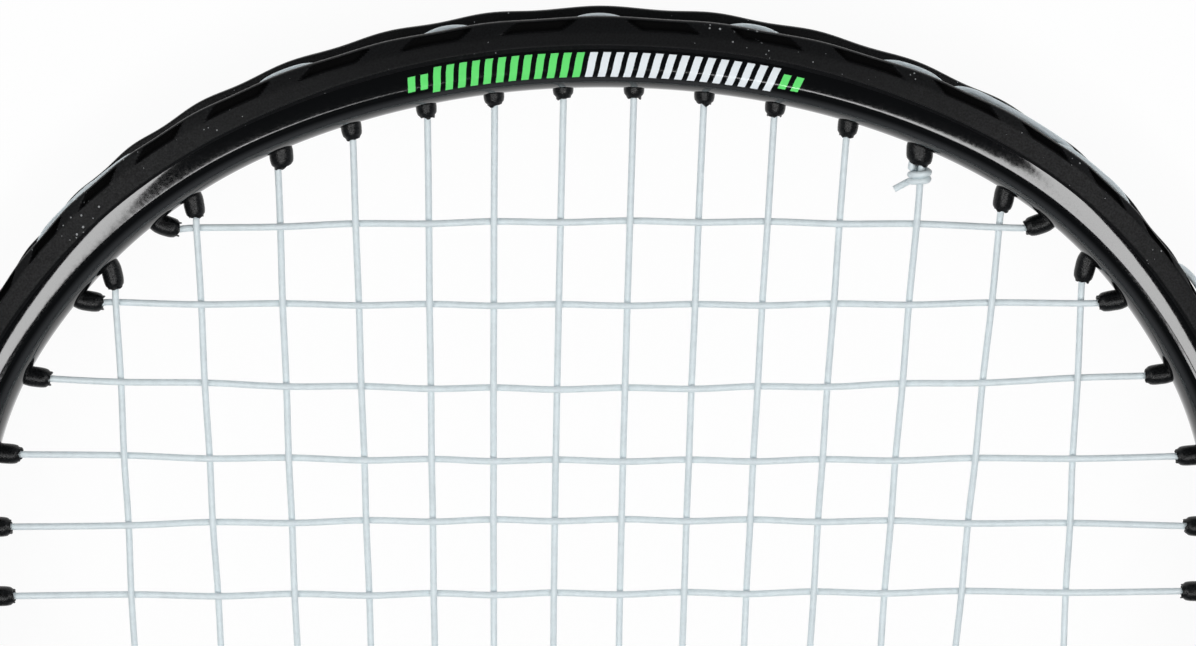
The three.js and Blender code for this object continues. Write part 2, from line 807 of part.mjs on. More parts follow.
function bridgeSweep(growth, reach) {
  const section = new THREE.Shape(roundedSection(
    bridgeHalf + growth, bridgeHalf + growth, bridgeHalfHeight + growth, bridgeSides));
  const angle = Math.asin(reach / bridgeRadius);
  const stations = stationsBetween(-bridgeStations, bridgeStations)
    .map((step) => (angle * step) / bridgeStations);
  return solid(sweep(section, bridge, stations));
}

function throatBridge() {
  return bridgeSweep(0, bridgeEnds.x)
    .subtract(tubeRoom)
    .subtract(joined(bridgeHoles.map(drilling)))
    .subtract(rivetHole(-1))
    .subtract(rivetHole(1));
}

function throatStrip() {
  const last = Math.max(...bridgeHoles.map((hole) => hole.runStation));
  const angle = bridge.step(last, throatStripMargin);
  const stations = stationsBetween(-bridgeStations, bridgeStations)
    .map((step) => (angle * step) / bridgeStations);
  const seat = joined([
    bridgeSweep(fit, bridgeEnds.x), tubeRoom, rivetHole(-1), rivetHole(1)]);
  const grooveWall = stripHalf - stripRimThickness;
  const groove = mirroredSection([
    [bridge.floor, grooveWall], [bridge.floor + 2 * barrelRadius, grooveWall]]);
  return grommetStrip(stripSection(bridge), bridge, stations, seat, bridgeHoles)
    .subtract(solid(sweep(groove, bridge, stations)));
}

function bridgeRivet(side) {
  const seat = tubeOuterHalf + fit;
  return rivetCylinder(side, rivetRadius, rivetDepth, seat + rivetHeadHeight)
    .add(rivetCylinder(side, rivetHeadRadius, seat, seat + rivetHeadHeight));
}

// Handle

// Corners of the handle's octagon, as a skin that advances along +Y takes them
function octagonRing(y, halfWidth, halfHeight) {
  const bevelX = bevelWidthShare * halfWidth;
  const bevelZ = bevelHeightShare * halfHeight;
  return [
    [halfWidth, -bevelZ], [bevelX, -halfHeight], [-bevelX, -halfHeight], [-halfWidth, -bevelZ],
    [-halfWidth, bevelZ], [-bevelX, halfHeight], [bevelX, halfHeight], [halfWidth, bevelZ],
  ].map(([x, z]) => new THREE.Vector3(x, y, z));
}

// The core's octagon with every face moved outward by a growth
function coreRing(y, growth) {
  const [low, high] = [
    new THREE.Vector2(coreHalfWidth, bevelHeightShare * coreHalfHeight),
    new THREE.Vector2(bevelWidthShare * coreHalfWidth, coreHalfHeight),
  ];
  const normal = new THREE.Vector2(high.y - low.y, low.x - high.x).normalize();
  const reach = low.dot(normal) + growth;
  const [width, height] = [coreHalfWidth + growth, coreHalfHeight + growth];
  const bevelX = (reach - normal.y * height) / normal.x;
  const bevelZ = (reach - normal.x * width) / normal.y;
  return octagonRing(y, width, height).map(({ x, z }) => (
    new THREE.Vector3(Math.sign(x) * (Math.abs(x) < width ? bevelX : width), y,
      Math.sign(z) * (Math.abs(z) < height ? bevelZ : height))));
}

// A body through rings of the core's octagon, given as [level, growth] pairs
function coreLoft(rings) {
  return solid(skin(rings.map(([y, growth]) => coreRing(y, growth))));
}

function box(halfX, halfZ, low, high) {
  const shape = new THREE.BoxGeometry(2 * halfX, high - low, 2 * halfZ);
  shape.translate(0, (low + high) / 2, 0);
  return solid(shape);
}

// Room for both tubes at once
function tubePairRoom() {
  return tubeRoom.add(box(shaftGap, tubeHalfHeight / 2, shaftEnd, coreTop + 2 * ferruleHeight));
}

function tackCylinder(flank, radius, from, to) {
  const shape = new THREE.CylinderGeometry(radius, radius, to - from, tackSides);
  shape.translate(0, (to + from) / 2, 0);
  const base = new THREE.Vector3(0, tackLevel, 0);
  const tip = new THREE.Vector3(0, tackLevel, flank);
  return solid(between(shape, base, tip, new THREE.Vector3(1, 0, 0)));
}

function tackRoom() {
  const shank = coreHalfHeight - tackLength - fit;
  const head = coreHalfHeight - tackHeadHeight - fit;
  const outside = coreHalfHeight + overrun;
  return joined([-1, 1].flatMap((flank) => [
    tackCylinder(flank, tackRadius + fit, shank, outside),
    tackCylinder(flank, tackHeadRadius + fit, head, outside),
  ]));
}

function tack(flank) {
  const head = coreHalfHeight - tackHeadHeight;
  return tackCylinder(flank, tackRadius, coreHalfHeight - tackLength, coreHalfHeight)
    .add(tackCylinder(flank, tackHeadRadius, head, coreHalfHeight));
}

function handleShells() {
  const outside = coreLoft([[coreBottom, 0], [coreTop, 0]]);
  const inside = coreLoft([[coreBottom - overrun, -coreWall], [coreTop + overrun, -coreWall]]);
  const first = coreBottom + ribMargin;
  const pitch = (coreTop - ribMargin - ribThickness - first) / (ribCount - 1);
  const ribs = Array.from({ length: ribCount }, (_, i) => first + i * pitch)
    .map((y) => coreLoft([[y, fit - coreWall], [y + ribThickness, fit - coreWall]]));
  return outside.subtract(inside).add(joined(ribs)).subtract(tubePairRoom()).subtract(tackRoom());
}

function handleShell(flank) {
  const shape = new THREE.BoxGeometry(4 * coreHalfWidth, 2 * racketLength, 2 * coreHalfHeight);
  shape.translate(0, 0, flank * (coreHalfHeight + fit / 2));
  return handleShells().intersect(solid(shape));
}

function buttCap() {
  const plugTop = coreBottom + capPlugLength;
  const outside = -coreWall - fit;
  const outline = coreLoft([
    [0, capFlare - capEdge],
    [capEdge, capFlare],
    [capFlange - capShoulder, capFlare],
    [capFlange, gripThickness],
  ]);
  const plug = coreLoft([[capFlange - overrun, outside], [plugTop, outside]]);
  const hollow = coreLoft([
    [capFlange, outside - capPlugWall], [plugTop + overrun, outside - capPlugWall]]);
  return outline.add(plug).subtract(hollow).subtract(tackRoom());
}

function ferrule() {
  const bottom = coreTop + fit;
  const halfWidth = shaftOffset + tubeOuterHalf + fit + ferruleWall;
  const halfHeight = tubeHalfHeight + fit + ferruleWall;
  return solid(skin([
    coreRing(bottom, ferruleFoot),
    coreRing(bottom + ferruleFlange, ferruleFoot),
    octagonRing(bottom + ferruleHeight, halfWidth, halfHeight),
  ])).subtract(tubePairRoom());
}

// The grip is one band of tape wound round the core, cut to a point at both ends
const gripWidth = gripPitch - gripSeam;
const gripStart = gripBottom + gripTip - gripWidth;

function gripTape() {
  const sides = coreRing(0, 0).length;
  const steps = Math.floor((sides * (gripTop - gripTip - gripStart)) / gripPitch);
  const rings = [];
  for (let step = 0; step <= steps; step += 1) {
    const level = gripStart + (gripPitch * step) / sides;
    const low = Math.max(level, gripBottom);
    const high = Math.min(level + gripWidth, gripTop);
    const inner = (y) => coreRing(y, fit)[step % sides];
    const outer = (y) => coreRing(y, fit + gripThickness)[step % sides];
    rings.push([inner(low), inner(high), outer(high), outer(low)]);
  }
  return skin(rings);
}

function finishingTape() {
  const overGrip = fit + gripThickness + fit;
  const slopeStart = gripTop + fit;
  const sleeve = (growth, extra) => coreLoft([
    [gripTop - tapeBelow - extra, overGrip + growth],
    [slopeStart, overGrip + growth],
    [slopeStart + tapeSlope, fit + growth],
    [gripTop + tapeAbove + extra, fit + growth],
  ]);
  return sleeve(tapeThickness, 0).subtract(sleeve(0, overrun));
}

function rubberCollar() {
  const bottom = coreTop - collarHeight;
  const overTape = fit + tapeThickness + fit;
  const step = gripTop + tapeAbove + fit;
  return coreLoft([
    [bottom, overTape + collarThickness + collarLip],
    [bottom + collarLipHeight, overTape + collarThickness + collarLip],
    [bottom + 2 * collarLipHeight, overTape + collarThickness],
    [coreTop, collarThickness],
  ])
    .subtract(coreLoft([[bottom - overrun, overTape], [step, overTape]]))
    .subtract(coreLoft([[bottom - overrun, fit], [coreTop + overrun, fit]]));
}

// Putting it together

const mainPath = mainStringPath();
const crossPath = crossStringPath();
const least = (a, b) => leastGap(a, b).toFixed(2);
console.log(`least gap of the mains' string to itself ${least(mainPath, mainPath)} mm`);
console.log(`least gap of the crosses' string to itself ${least(crossPath, crossPath)} mm`);
console.log(`least gap between the two strings ${least(mainPath, crossPath)} mm`);
console.log(`gap between turns of the grip ${gripSeam} mm`);

const pieces = [
  ['frame_tube', geometryOf(frameTube()), blackLacquer],
  ['bumper_guard', geometryOf(bumperGuard()), bumperPlastic],
  ['side_strip_left', geometryOf(sideStrip(-1)), grommetPlastic],
  ['side_strip_right', geometryOf(sideStrip(1)), grommetPlastic],
  ['throat_bridge', geometryOf(throatBridge()), bridgePlastic],
  ['throat_strip', geometryOf(throatStrip()), grommetPlastic],
  ['bridge_rivet_left', geometryOf(bridgeRivet(-1)), rivetMetal],
  ['bridge_rivet_right', geometryOf(bridgeRivet(1)), rivetMetal],
  ['main_string', stringTube(mainPath), nylon],
  ['cross_string', stringTube(crossPath), nylon],
  ['handle_shell_front', geometryOf(handleShell(1)), corePlastic],
  ['handle_shell_back', geometryOf(handleShell(-1)), corePlastic],
  ['butt_cap', geometryOf(buttCap()), capPlastic],
  ['butt_cap_tack_front', geometryOf(tack(1)), rivetMetal],
  ['butt_cap_tack_back', geometryOf(tack(-1)), rivetMetal],
  ['handle_ferrule', geometryOf(ferrule()), capPlastic],
  ['grip_tape', gripTape(), gripRubber],
  ['finishing_tape', geometryOf(finishingTape()), tapeVinyl],
  ['rubber_collar', geometryOf(rubberCollar()), collarRubber],
];

const racket = new THREE.Group();
racket.name = 'crossminton_racket';
pieces.forEach(([name, geometry, look]) => {
  const mesh = new THREE.Mesh(geometry.translate(0, -racketLength / 2, lift), look);
  mesh.name = name;
  racket.add(mesh);
});

export default racket;
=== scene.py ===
import math

import bpy
import numpy as np
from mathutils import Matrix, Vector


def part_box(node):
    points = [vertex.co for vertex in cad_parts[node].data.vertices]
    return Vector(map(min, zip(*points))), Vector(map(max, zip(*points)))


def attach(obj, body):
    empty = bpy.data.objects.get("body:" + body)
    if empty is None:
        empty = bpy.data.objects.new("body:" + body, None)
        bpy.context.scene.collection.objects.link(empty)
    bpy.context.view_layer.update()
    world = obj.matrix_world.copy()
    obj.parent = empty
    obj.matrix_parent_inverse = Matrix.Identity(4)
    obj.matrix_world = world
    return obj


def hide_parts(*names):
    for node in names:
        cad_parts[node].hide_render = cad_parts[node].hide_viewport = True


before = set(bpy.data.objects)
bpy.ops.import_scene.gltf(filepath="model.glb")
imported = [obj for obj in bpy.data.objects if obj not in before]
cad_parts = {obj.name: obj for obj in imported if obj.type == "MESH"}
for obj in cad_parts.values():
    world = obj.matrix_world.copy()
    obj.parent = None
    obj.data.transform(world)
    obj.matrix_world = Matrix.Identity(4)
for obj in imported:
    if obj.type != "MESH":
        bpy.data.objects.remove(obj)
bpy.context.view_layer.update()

# Frame tube
# One aluminium tube of a rounded section, bent round the head and down both arms, with its two
# ends side by side in the handle. It is sprayed with a thick gloss black lacquer, and a band of
# slanted green and white bars is printed on its front face, round the top of the head.

mm = 0.001
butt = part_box("butt_cap")[0].y
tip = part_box("bumper_guard")[1].y
tube_low, tube_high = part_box("frame_tube")
bed_level = (tube_low.z + tube_high.z) / 2

tube_outer_half = 4.1 * mm
tube_inner_half = 4.7 * mm
tube_half_height = 6 * mm
tube_roundness = 2.4
tube_rings = 900
tube_sides = 56
bumper_rim = 6.4 * mm
head_half_width = tube_high.x - tube_outer_half
head_rise = 77.5 * mm
widest_line = tip - bumper_rim - head_rise
throat_length = 128 * mm
bed_length = 263.7 * mm
bridge_half = 4.2 * mm
inner_half_width = head_half_width - tube_inner_half
inner_tip = widest_line + head_rise - tube_inner_half
bridge_middle = inner_tip - bed_length - bridge_half
shaft_top = bridge_middle - throat_length
shaft_offset = 5.2 * mm
arm_upper_pull = 160 * mm
arm_lower_pull = 60 * mm
shaft_end = tube_low.y
head_steps, arm_steps, shaft_steps = 700, 1500, 300


def arm_curve(share):
    """A cubic curve from the widest line to the shaft: the four corner points, each weighted by
    the usual powers of the share and of what is left of it."""
    corners = np.array([
        [head_half_width, widest_line],
        [head_half_width, widest_line - arm_upper_pull],
        [shaft_offset, shaft_top + arm_lower_pull],
        [shaft_offset, shaft_top]])
    left = 1 - share
    weights = [left ** 3, 3 * left ** 2 * share, 3 * left * share ** 2, share ** 3]
    return np.stack(weights, axis=1) @ corners


def half_outline():
    """The tube's centreline from the tip down the right side: a quarter of an ellipse (half
    width times sine, rise times cosine), then the arm's curve, then the straight shaft."""
    turn = np.linspace(0, math.pi / 2, head_steps)
    head = np.stack([
        head_half_width * np.sin(turn), widest_line + head_rise * np.cos(turn)], axis=1)
    arm = arm_curve(np.linspace(0, 1, arm_steps))
    shaft = np.stack([
        np.full(shaft_steps, shaft_offset), np.linspace(shaft_top, shaft_end, shaft_steps)], axis=1)
    return np.concatenate([head, arm[1:], shaft[1:]])


def arc_lengths(line):
    """Running sum of the distances between neighbouring points of a line."""
    steps = np.linalg.norm(np.diff(line, axis=0), axis=1)
    return np.concatenate([[0], np.cumsum(steps)])


right_half = half_outline()
half_arc = arc_lengths(right_half)
outline = np.concatenate([right_half[:0:-1] * [-1, 1], right_half])
outline_arc = np.concatenate([-half_arc[:0:-1], half_arc])
outline_along = np.gradient(outline, outline_arc, axis=0)
outline_along /= np.linalg.norm(outline_along, axis=1)[:, None]
outline_out = np.stack([-outline_along[:, 1], outline_along[:, 0]], axis=1)


stray_places = np.array([
    -150, -107, -98, -89, -80, -61, -48, -30, 0, 12, 34, 48, 60, 71, 80, 89, 99, 108, 150]) * mm
strays = np.array([
    0, -0.42, -0.58, -0.36, -0.08, 0.27, 0.13, 0.03, 0, 0.12,
    0.56, 0.84, 1.13, 1.24, 0.96, 0.56, 0.02, -0.15, 0]) * mm
bend_step = 1 * mm
die_steps = 23


def departure():
    """How far the bent tube strays outward from the true outline: its strays at a few arc
    lengths, smoothed by a sliding mean over the width of the bending die."""
    even = np.arange(-half_arc[-1], half_arc[-1], bend_step)
    die = np.hanning(die_steps)
    smooth = np.convolve(np.interp(even, stray_places, strays), die / die.sum(), mode="same")
    return np.interp(outline_arc, even, smooth)


outline = outline + departure()[:, None] * outline_out
outline_table = np.column_stack([outline, outline_out])


def on_rim(arc, out, up):
    """A place by the tube: the centreline's point at an arc length from the tip, positive on the
    right, plus a distance along its outward normal and a height over the string bed."""
    arc, out, up = np.broadcast_arrays(
        np.asarray(arc, float), np.asarray(out, float), np.asarray(up, float))
    x, y, out_x, out_y = (np.interp(arc, outline_arc, column) for column in outline_table.T)
    return np.stack([x + out * out_x, y + out * out_y, bed_level + up], axis=-1)


def skin(points, uv=None):
    """A closed skin over rings of points: neighbouring rings are joined by four-sided faces, and
    the first and last ring are closed by a fan round their middle. The uv grid, if given, has
    one column more than the points, for the seam."""
    rows, columns, _ = points.shape
    if uv is None:
        uv = np.zeros((rows, columns + 1, 2))
    row, column = np.meshgrid(np.arange(rows - 1), np.arange(columns), indexing="ij")
    row, column = row.ravel(), column.ravel()
    after = (column + 1) % columns
    sides = np.stack([
        row * columns + column, row * columns + after,
        (row + 1) * columns + after, (row + 1) * columns + column], axis=1)
    side_uv = np.stack([
        uv[row, column], uv[row, column + 1], uv[row + 1, column + 1], uv[row + 1, column]], axis=1)
    vertices = np.concatenate([points.reshape(-1, 3), points[[0, -1]].mean(axis=1)])
    ring = np.arange(columns)
    next_ring = (ring + 1) % columns
    last = (rows - 1) * columns
    first_fan = np.stack([next_ring, ring, np.full(columns, rows * columns)], axis=1)
    last_fan = np.stack([
        last + ring, last + next_ring, np.full(columns, rows * columns + 1)], axis=1)
    fans = np.concatenate([first_fan, last_fan])
    fan_uv = np.concatenate([
        np.stack([uv[end, 1:], uv[end, :-1], uv[end, :-1]], axis=1) for end in (0, -1)])
    corners = vertices[sides]
    away = np.cross(corners[:, 2] - corners[:, 0], corners[:, 3] - corners[:, 1])
    middle = vertices.mean(axis=0)
    volume = np.einsum("ij,ij->", corners.mean(axis=1) - middle, away)
    if volume < 0:
        sides, side_uv = sides[:, ::-1], side_uv[:, ::-1]
        fans, fan_uv = fans[:, ::-1], fan_uv[:, ::-1]
    return vertices, sides, side_uv, fans, fan_uv


def make_piece(name, skins, material, node, crease=50):
    """One piece from several closed skins, their vertices numbered on from each other. Edges
    sharper than the crease angle stay crisp, and the rest is shaded smooth."""
    counts = np.cumsum([0] + [len(part[0]) for part in skins])
    vertices = np.concatenate([part[0] for part in skins])
    sides = np.concatenate([part[1] + start for part, start in zip(skins, counts)])
    fans = np.concatenate([part[3] + start for part, start in zip(skins, counts)])
    uv = np.concatenate(
        [part[2].reshape(-1, 2) for part in skins] + [part[4].reshape(-1, 2) for part in skins])
    mesh = bpy.data.meshes.new(name)
    mesh.from_pydata(vertices.tolist(), [], sides.tolist() + fans.tolist())
    mesh.uv_layers.new(name="along").uv.foreach_set("vector", uv.ravel())
    mesh.shade_smooth()
    mesh.set_sharp_from_angle(angle=math.radians(crease))
    mesh.materials.append(material)
    piece = bpy.data.objects.new(name, mesh)
    bpy.context.scene.collection.objects.link(piece)
    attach(piece, "root")
    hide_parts(node)
    return piece


def linear(colour):
    """An sRGB hex colour as linear red, green, blue and alpha."""
    shares = np.array([int(colour[i:i + 2], 16) / 255 for i in (1, 3, 5)])
    low = shares / 12.92
    high = ((shares + 0.055) / 1.055) ** 2.4
    return (*np.where(shares <= 0.04045, low, high), 1)


def add(tree, kind, inputs=None, **settings):
    """Adds a shader node, sets its properties, and sets or links its inputs. An input given as a
    node is linked to that node's first output in use."""
    node = tree.nodes.new("ShaderNode" + kind)
    for name, value in settings.items():
        setattr(node, name, value)
    for name, value in (inputs or {}).items():
        if isinstance(value, bpy.types.Node):
            value = next(output for output in value.outputs if output.enabled)
        if isinstance(value, bpy.types.NodeSocket):
            tree.links.new(value, node.inputs[name])
        else:
            node.inputs[name].default_value = value
    return node


def new_material(name):
    """An empty material, and its node tree."""
    material = bpy.data.materials.new(name)
    material.use_nodes = True
    material.node_tree.nodes.clear()
    return material, material.node_tree


def squared_off(angle):
    """The cosine and sine of the angle, each raised to 2 over the roundness, its sign kept."""
    power = 2 / tube_roundness
    return [np.sign(wave) * np.abs(wave) ** power for wave in (np.cos(angle), np.sin(angle))]


def tube_section():
    """Outward distance and height round the tube: the squared-off cosine and sine times the half
    sizes, which differ inward and outward."""
    out, up = squared_off(np.linspace(0, 2 * math.pi, tube_sides, endpoint=False))
    return out * np.where(out > 0, tube_outer_half, tube_inner_half), up * tube_half_height


def lay_uv(rows, columns):
    """Metres along and metres round, as the two columns of a uv map, with the seam's column."""
    return np.stack(np.meshgrid(rows, columns, indexing="ij"), axis=-1)


tube_arc = np.linspace(-half_arc[-1], half_arc[-1], tube_rings)
section_out, section_up = tube_section()
tube_points = on_rim(tube_arc[:, None], section_out, section_up)
girth_radius = 5.2 * mm
tube_round = np.linspace(0, 2 * math.pi * girth_radius, tube_sides + 1)

# The print: a row of 27 slanted bars along the front face, with two shorter ones at each end. On
# the uv map its middle lies about a quarter of the girth round from the outside. Counts are halved,
# since each field of bars reaches from the middle of the row to both sides.
print_middle = 8.39 * mm
bar_pitch = 1.95 * mm
bar_width = 1.15 * mm
bar_lean = 0.24
tall_bars, tall_half = 13.5, 1.93 * mm
all_bars, short_half = 15.5, 1.05 * mm
pale_middle, pale_bars = 6.5 * bar_pitch, 7.5 * bar_pitch

# Baked gloss lacquer over aluminium: deep black, a hard clear top coat, faint orange peel, and
# the printed bars. It shows sharp reflections of the lamps.
lacquer, tree = new_material("Gloss black lacquer")
place = add(tree, "UVMap", uv_map="along")
parts = add(tree, "SeparateXYZ", {"Vector": place})
along, round_it = parts.outputs["X"], parts.outputs["Y"]
above = add(tree, "Math", {0: round_it, 1: print_middle}, operation="SUBTRACT")
leaned = add(tree, "Math", {0: above, 1: bar_lean, 2: along}, operation="MULTIPLY_ADD")
phase = add(tree, "Math", {0: leaned, 1: bar_pitch, 2: 0.0}, operation="WRAP")
stripe = add(tree, "Math", {0: phase, 1: bar_pitch / 2, 2: bar_width / 2}, operation="COMPARE")
fields = []
for bars, half_height in ((tall_bars, tall_half), (all_bars, short_half)):
    in_length = add(tree, "Math", {
        0: leaned, 1: 0.5 * bar_pitch, 2: bars * bar_pitch}, operation="COMPARE")
    in_height = add(tree, "Math", {
        0: round_it, 1: print_middle, 2: half_height}, operation="COMPARE")
    fields.append(add(tree, "Math", {0: in_length, 1: in_height}, operation="MULTIPLY"))
field = add(tree, "Math", {0: fields[0], 1: fields[1]}, operation="MAXIMUM")
printed = add(tree, "Math", {0: stripe, 1: field}, operation="MULTIPLY")
pale = add(tree, "Math", {0: leaned, 1: pale_middle, 2: pale_bars}, operation="COMPARE")
ink = add(tree, "Mix", {0: pale, 6: linear("#6deb7a"), 7: linear("#f0f6f9")}, data_type="RGBA")
colour = add(tree, "Mix", {0: printed, 6: linear("#060708"), 7: ink}, data_type="RGBA")
peel = add(tree, "TexNoise", {
    "Vector": add(tree, "TexCoord").outputs["Object"], "Scale": 1 / (2.5 * mm), "Detail": 2})
dust = add(tree, "TexNoise", {
    "Vector": add(tree, "TexCoord").outputs["Object"], "Scale": 1 / (0.5 * mm), "Detail": 3})
shine = add(tree, "MapRange", {
    "Value": dust, "From Min": 0.45, "From Max": 0.75, "To Min": 0.06, "To Max": 0.1})
surface = add(tree, "Bump", {"Height": peel, "Strength": 0.2, "Distance": 0.03 * mm})
paint = add(tree, "BsdfPrincipled", {
    "Base Color": colour, "Roughness": shine, "IOR": 1.6,
    "Normal": surface})
add(tree, "OutputMaterial", {"Surface": paint})

make_piece(
    "lacquered_frame", [skin(tube_points, lay_uv(tube_arc, tube_round))], lacquer,
    "frame_tube")

# Throat bridge
# A solid moulded nylon bridge, curved like the head, that closes the throat between the arms.
# It is trapped between them and held by a rivet at each end.

bridge_half_height = 5.3 * mm
bridge_sag = 20 * mm
bridge_flare = 0.12
arm_table = right_half[right_half[:, 1] < widest_line][::-1]
bridge_reach = np.interp(bridge_middle + bridge_sag, arm_table[:, 1], arm_table[:, 0])
bridge_radius = (bridge_reach ** 2 + bridge_sag ** 2) / (2 * bridge_sag)
bridge_centre = bridge_middle + bridge_radius


def on_bridge(arc, out, up):
    """A place by the bridge: on a circle round the bridge's centre of curvature, at an angle of
    the arc length over the radius, positive on the left, and so far outward, to the handle."""
    arc, out, up = np.broadcast_arrays(
        np.asarray(arc, float), np.asarray(out, float), np.asarray(up, float))
    angle = arc / bridge_radius
    reach = bridge_radius + out
    return np.stack([
        -reach * np.sin(angle), bridge_centre - reach * np.cos(angle), bed_level + up], axis=-1)


bridge_end = bridge_radius * math.asin(bridge_reach / bridge_radius)
bridge_arc = np.linspace(-bridge_end, bridge_end, 120)
bridge_out, bridge_up = squared_off(np.linspace(0, 2 * math.pi, 40, endpoint=False))
flare = 1 + bridge_flare * (np.abs(bridge_arc) / bridge_end) ** 6
bridge_points = on_bridge(
    bridge_arc[:, None], flare[:, None] * bridge_half * bridge_out,
    flare[:, None] * bridge_half_height * bridge_up)


def grained_finish(name, grain, relief, constants, tones=None, shine=None):
    """A material with one grain: a noise, given by its size, detail and roughness, sets a relief
    of a strength and depth and, where given, a tone between two places of the noise and a
    roughness between two values. The rest is constant."""
    material, tree = new_material(name)
    size, detail, harshness = grain
    strength, depth = relief
    noise = add(tree, "TexNoise", {
        "Vector": add(tree, "TexCoord").outputs["Object"], "Scale": 1 / size, "Detail": detail,
        "Roughness": harshness})
    surface = add(tree, "Bump", {"Height": noise, "Strength": strength, "Distance": depth})
    varied = {"Normal": surface}
    if tones:
        varied["Base Color"] = tone = add(tree, "ValToRGB", {"Fac": noise})
        for stop, (position, colour) in zip(tone.color_ramp.elements, tones):
            stop.position, stop.color = position, linear(colour)
    if shine:
        varied["Roughness"] = add(tree, "MapRange", {
            "Value": noise, "From Min": 0.3, "From Max": 0.7,
            "To Min": shine[0], "To Max": shine[1]})
    paint = add(tree, "BsdfPrincipled", {**constants, **varied})
    add(tree, "OutputMaterial", {"Surface": paint})
    return material


# Glass-filled nylon, moulded in a fine-sparked tool: black, a soft sheen and a fine grain.
bridge_nylon = grained_finish(
    "Moulded black nylon", (0.4 * mm, 4, 0.5), (0.5, 0.04 * mm),
    {"Base Color": linear("#141518"), "IOR": 1.53}, shine=(0.36, 0.5))

make_piece("moulded_bridge", [skin(bridge_points)], bridge_nylon, "throat_bridge")

# Bridge rivets
# Two aluminium rivets with low domed heads, driven through the arms into the bridge's ends.

rivet_head_radius = 2.6 * mm
rivet_head_height = 1.1 * mm
rivet_edge = 0.2 * mm
rivet_radius = 1.1 * mm
rivet_drop = 8.5 * mm
rivet_grip = 3 * mm
fit = 0.3 * mm
arm_half = half_arc[right_half[:, 1] < widest_line]
rivet_arc = np.interp(bridge_middle + bridge_sag - rivet_drop, arm_table[:, 1], arm_half[::-1])


def turned(profile, base, axis, aside, sides=32):
    """A turned shape: each pair of radius and distance along the axis becomes a ring round it,
    cosine along one side direction and sine along the other."""
    radius, distance = np.asarray(profile, float).T
    angle = np.linspace(0, 2 * math.pi, sides, endpoint=False)
    across = np.cross(axis, aside)
    ring = np.cos(angle)[:, None] * aside + np.sin(angle)[:, None] * across
    return base + distance[:, None, None] * axis + radius[:, None, None] * ring


def dome(radius, height, foot, steps=10):
    """Radius and distance over a low dome: a quarter of an ellipse from the rim to the crown."""
    turn = np.linspace(0, math.pi / 2 * 0.98, steps)
    return np.stack([radius * np.cos(turn), foot + height * np.sin(turn)], axis=1)


# Cold-headed aluminium, a little dulled by handling.
rivet_aluminium = grained_finish(
    "Headed aluminium", (0.3 * mm, 5, 0.5), (0.3, 0.02 * mm),
    {"Base Color": linear("#c3c6ca"), "Metallic": 1}, shine=(0.28, 0.45))

for side, name in ((-1, "left"), (1, "right")):
    base = on_rim(side * rivet_arc, 0, 0)
    axis = on_rim(side * rivet_arc, 1, 0) - base
    seat = tube_outer_half
    profile = np.concatenate([
        [[rivet_radius, -(tube_inner_half + rivet_grip)], [rivet_radius, seat],
         [rivet_head_radius, seat]],
        dome(rivet_head_radius, rivet_head_height, seat + rivet_edge)])
    make_piece(
        f"{name}_rivet", [skin(turned(profile, base, axis, np.array([0, 0, 1.0])))],
        rivet_aluminium, f"bridge_rivet_{name}")

# String holes
# Where the strings cross the frame: fourteen mains leave it round the top, twelve of them end in
# the bridge and two in the arms, and seventeen crosses run from side to side.

barrel_length = 2.4 * mm
string_radius = 0.53 * mm
main_count = 14
cross_count = 17
main_top_shares = {
    -1: [0.0546, 0.1637, 0.2705, 0.3895, 0.501, 0.6425, 0.776],
    1: [0.057, 0.168, 0.28, 0.3955, 0.5093, 0.646, 0.779]}
main_foot_shares = [0.074, 0.223, 0.37, 0.514, 0.651, 0.774]
outer_foot_share = 0.764
low_cross_shares = [0.36, 0.412, 0.464, 0.517, 0.57, 0.623, 0.676, 0.729, 0.784, 0.839, 0.895]
cross_level_shares = {
    -1: [0.0852, 0.1297, 0.1758, 0.2227, 0.268, 0.3118] + low_cross_shares,
    1: [0.0841, 0.1293, 0.1741, 0.2238, 0.2676, 0.3086] + low_cross_shares}
cross_bow_shares = [
    0.55, -0.2, -0.95, -0.45, 0.53, 0, 0.2, -0.3, 0.15,
    -0.2, 0.3, -0.15, 0.1, -0.25, 0.2, -0.1, 0.15]
cross_bow = 2 * mm
main_sways = np.array([
    -0.45, 2.6, 1.6, 0.36, 0.95, 1.55, 2.3, 2.1, 2.25, 2.8, 2.7, 2.15, 1.2, 0.25]) * mm
tie_spread = 0.75 * mm
lone_spread = 0.95 * mm
tie_stretch = 0.34
lone_stretch = 0.18
lean_share = 0.55
steepest_lean = 0.9
down_way = np.array([0, -1])
floor_thickness = 0.55 * mm
rim_floor = tube_outer_half + fit + floor_thickness
bridge_floor = bridge_half + fit + floor_thickness
rim_tip = -(tube_inner_half + barrel_length)
bridge_tip = -(bridge_half + barrel_length)
outer_rank = main_count // 2 - 1
tie_main = main_count - 3
left_tie_cross = cross_count - 3
end_tie_cross = cross_count - 2


def rim_hole(arc, way, stretch=0.0, own_shift=0.0):
    """A hole square through the tube. Its barrel's tip is at the arc length, and leans there from
    the hole in the string's way: a share of the barrel's length times the tangent of the angle
    between the way and the hole. One stretched along the tube has room for a second string beside
    its own, which lies off the hole's axis by the shift."""
    outward = (on_rim(arc, 1, 0) - on_rim(arc, 0, 0))[:2]
    tangent = (way[0] * outward[1] - way[1] * outward[0]) / -(way @ outward)
    lean = lean_share * barrel_length * np.clip(tangent, -steepest_lean, steepest_lean)
    run = arc - lean
    base = on_rim(run, 0, 0)
    outward = on_rim(run, 1, 0) - base
    along = np.array([outward[1], -outward[0], 0])
    return {
        "base": base, "outward": outward, "along": along, "stretch": stretch, "own": own_shift,
        "lean": lean, "on": on_rim, "run": run, "tip": rim_tip, "floor": rim_floor,
        "inner": -tube_inner_half}


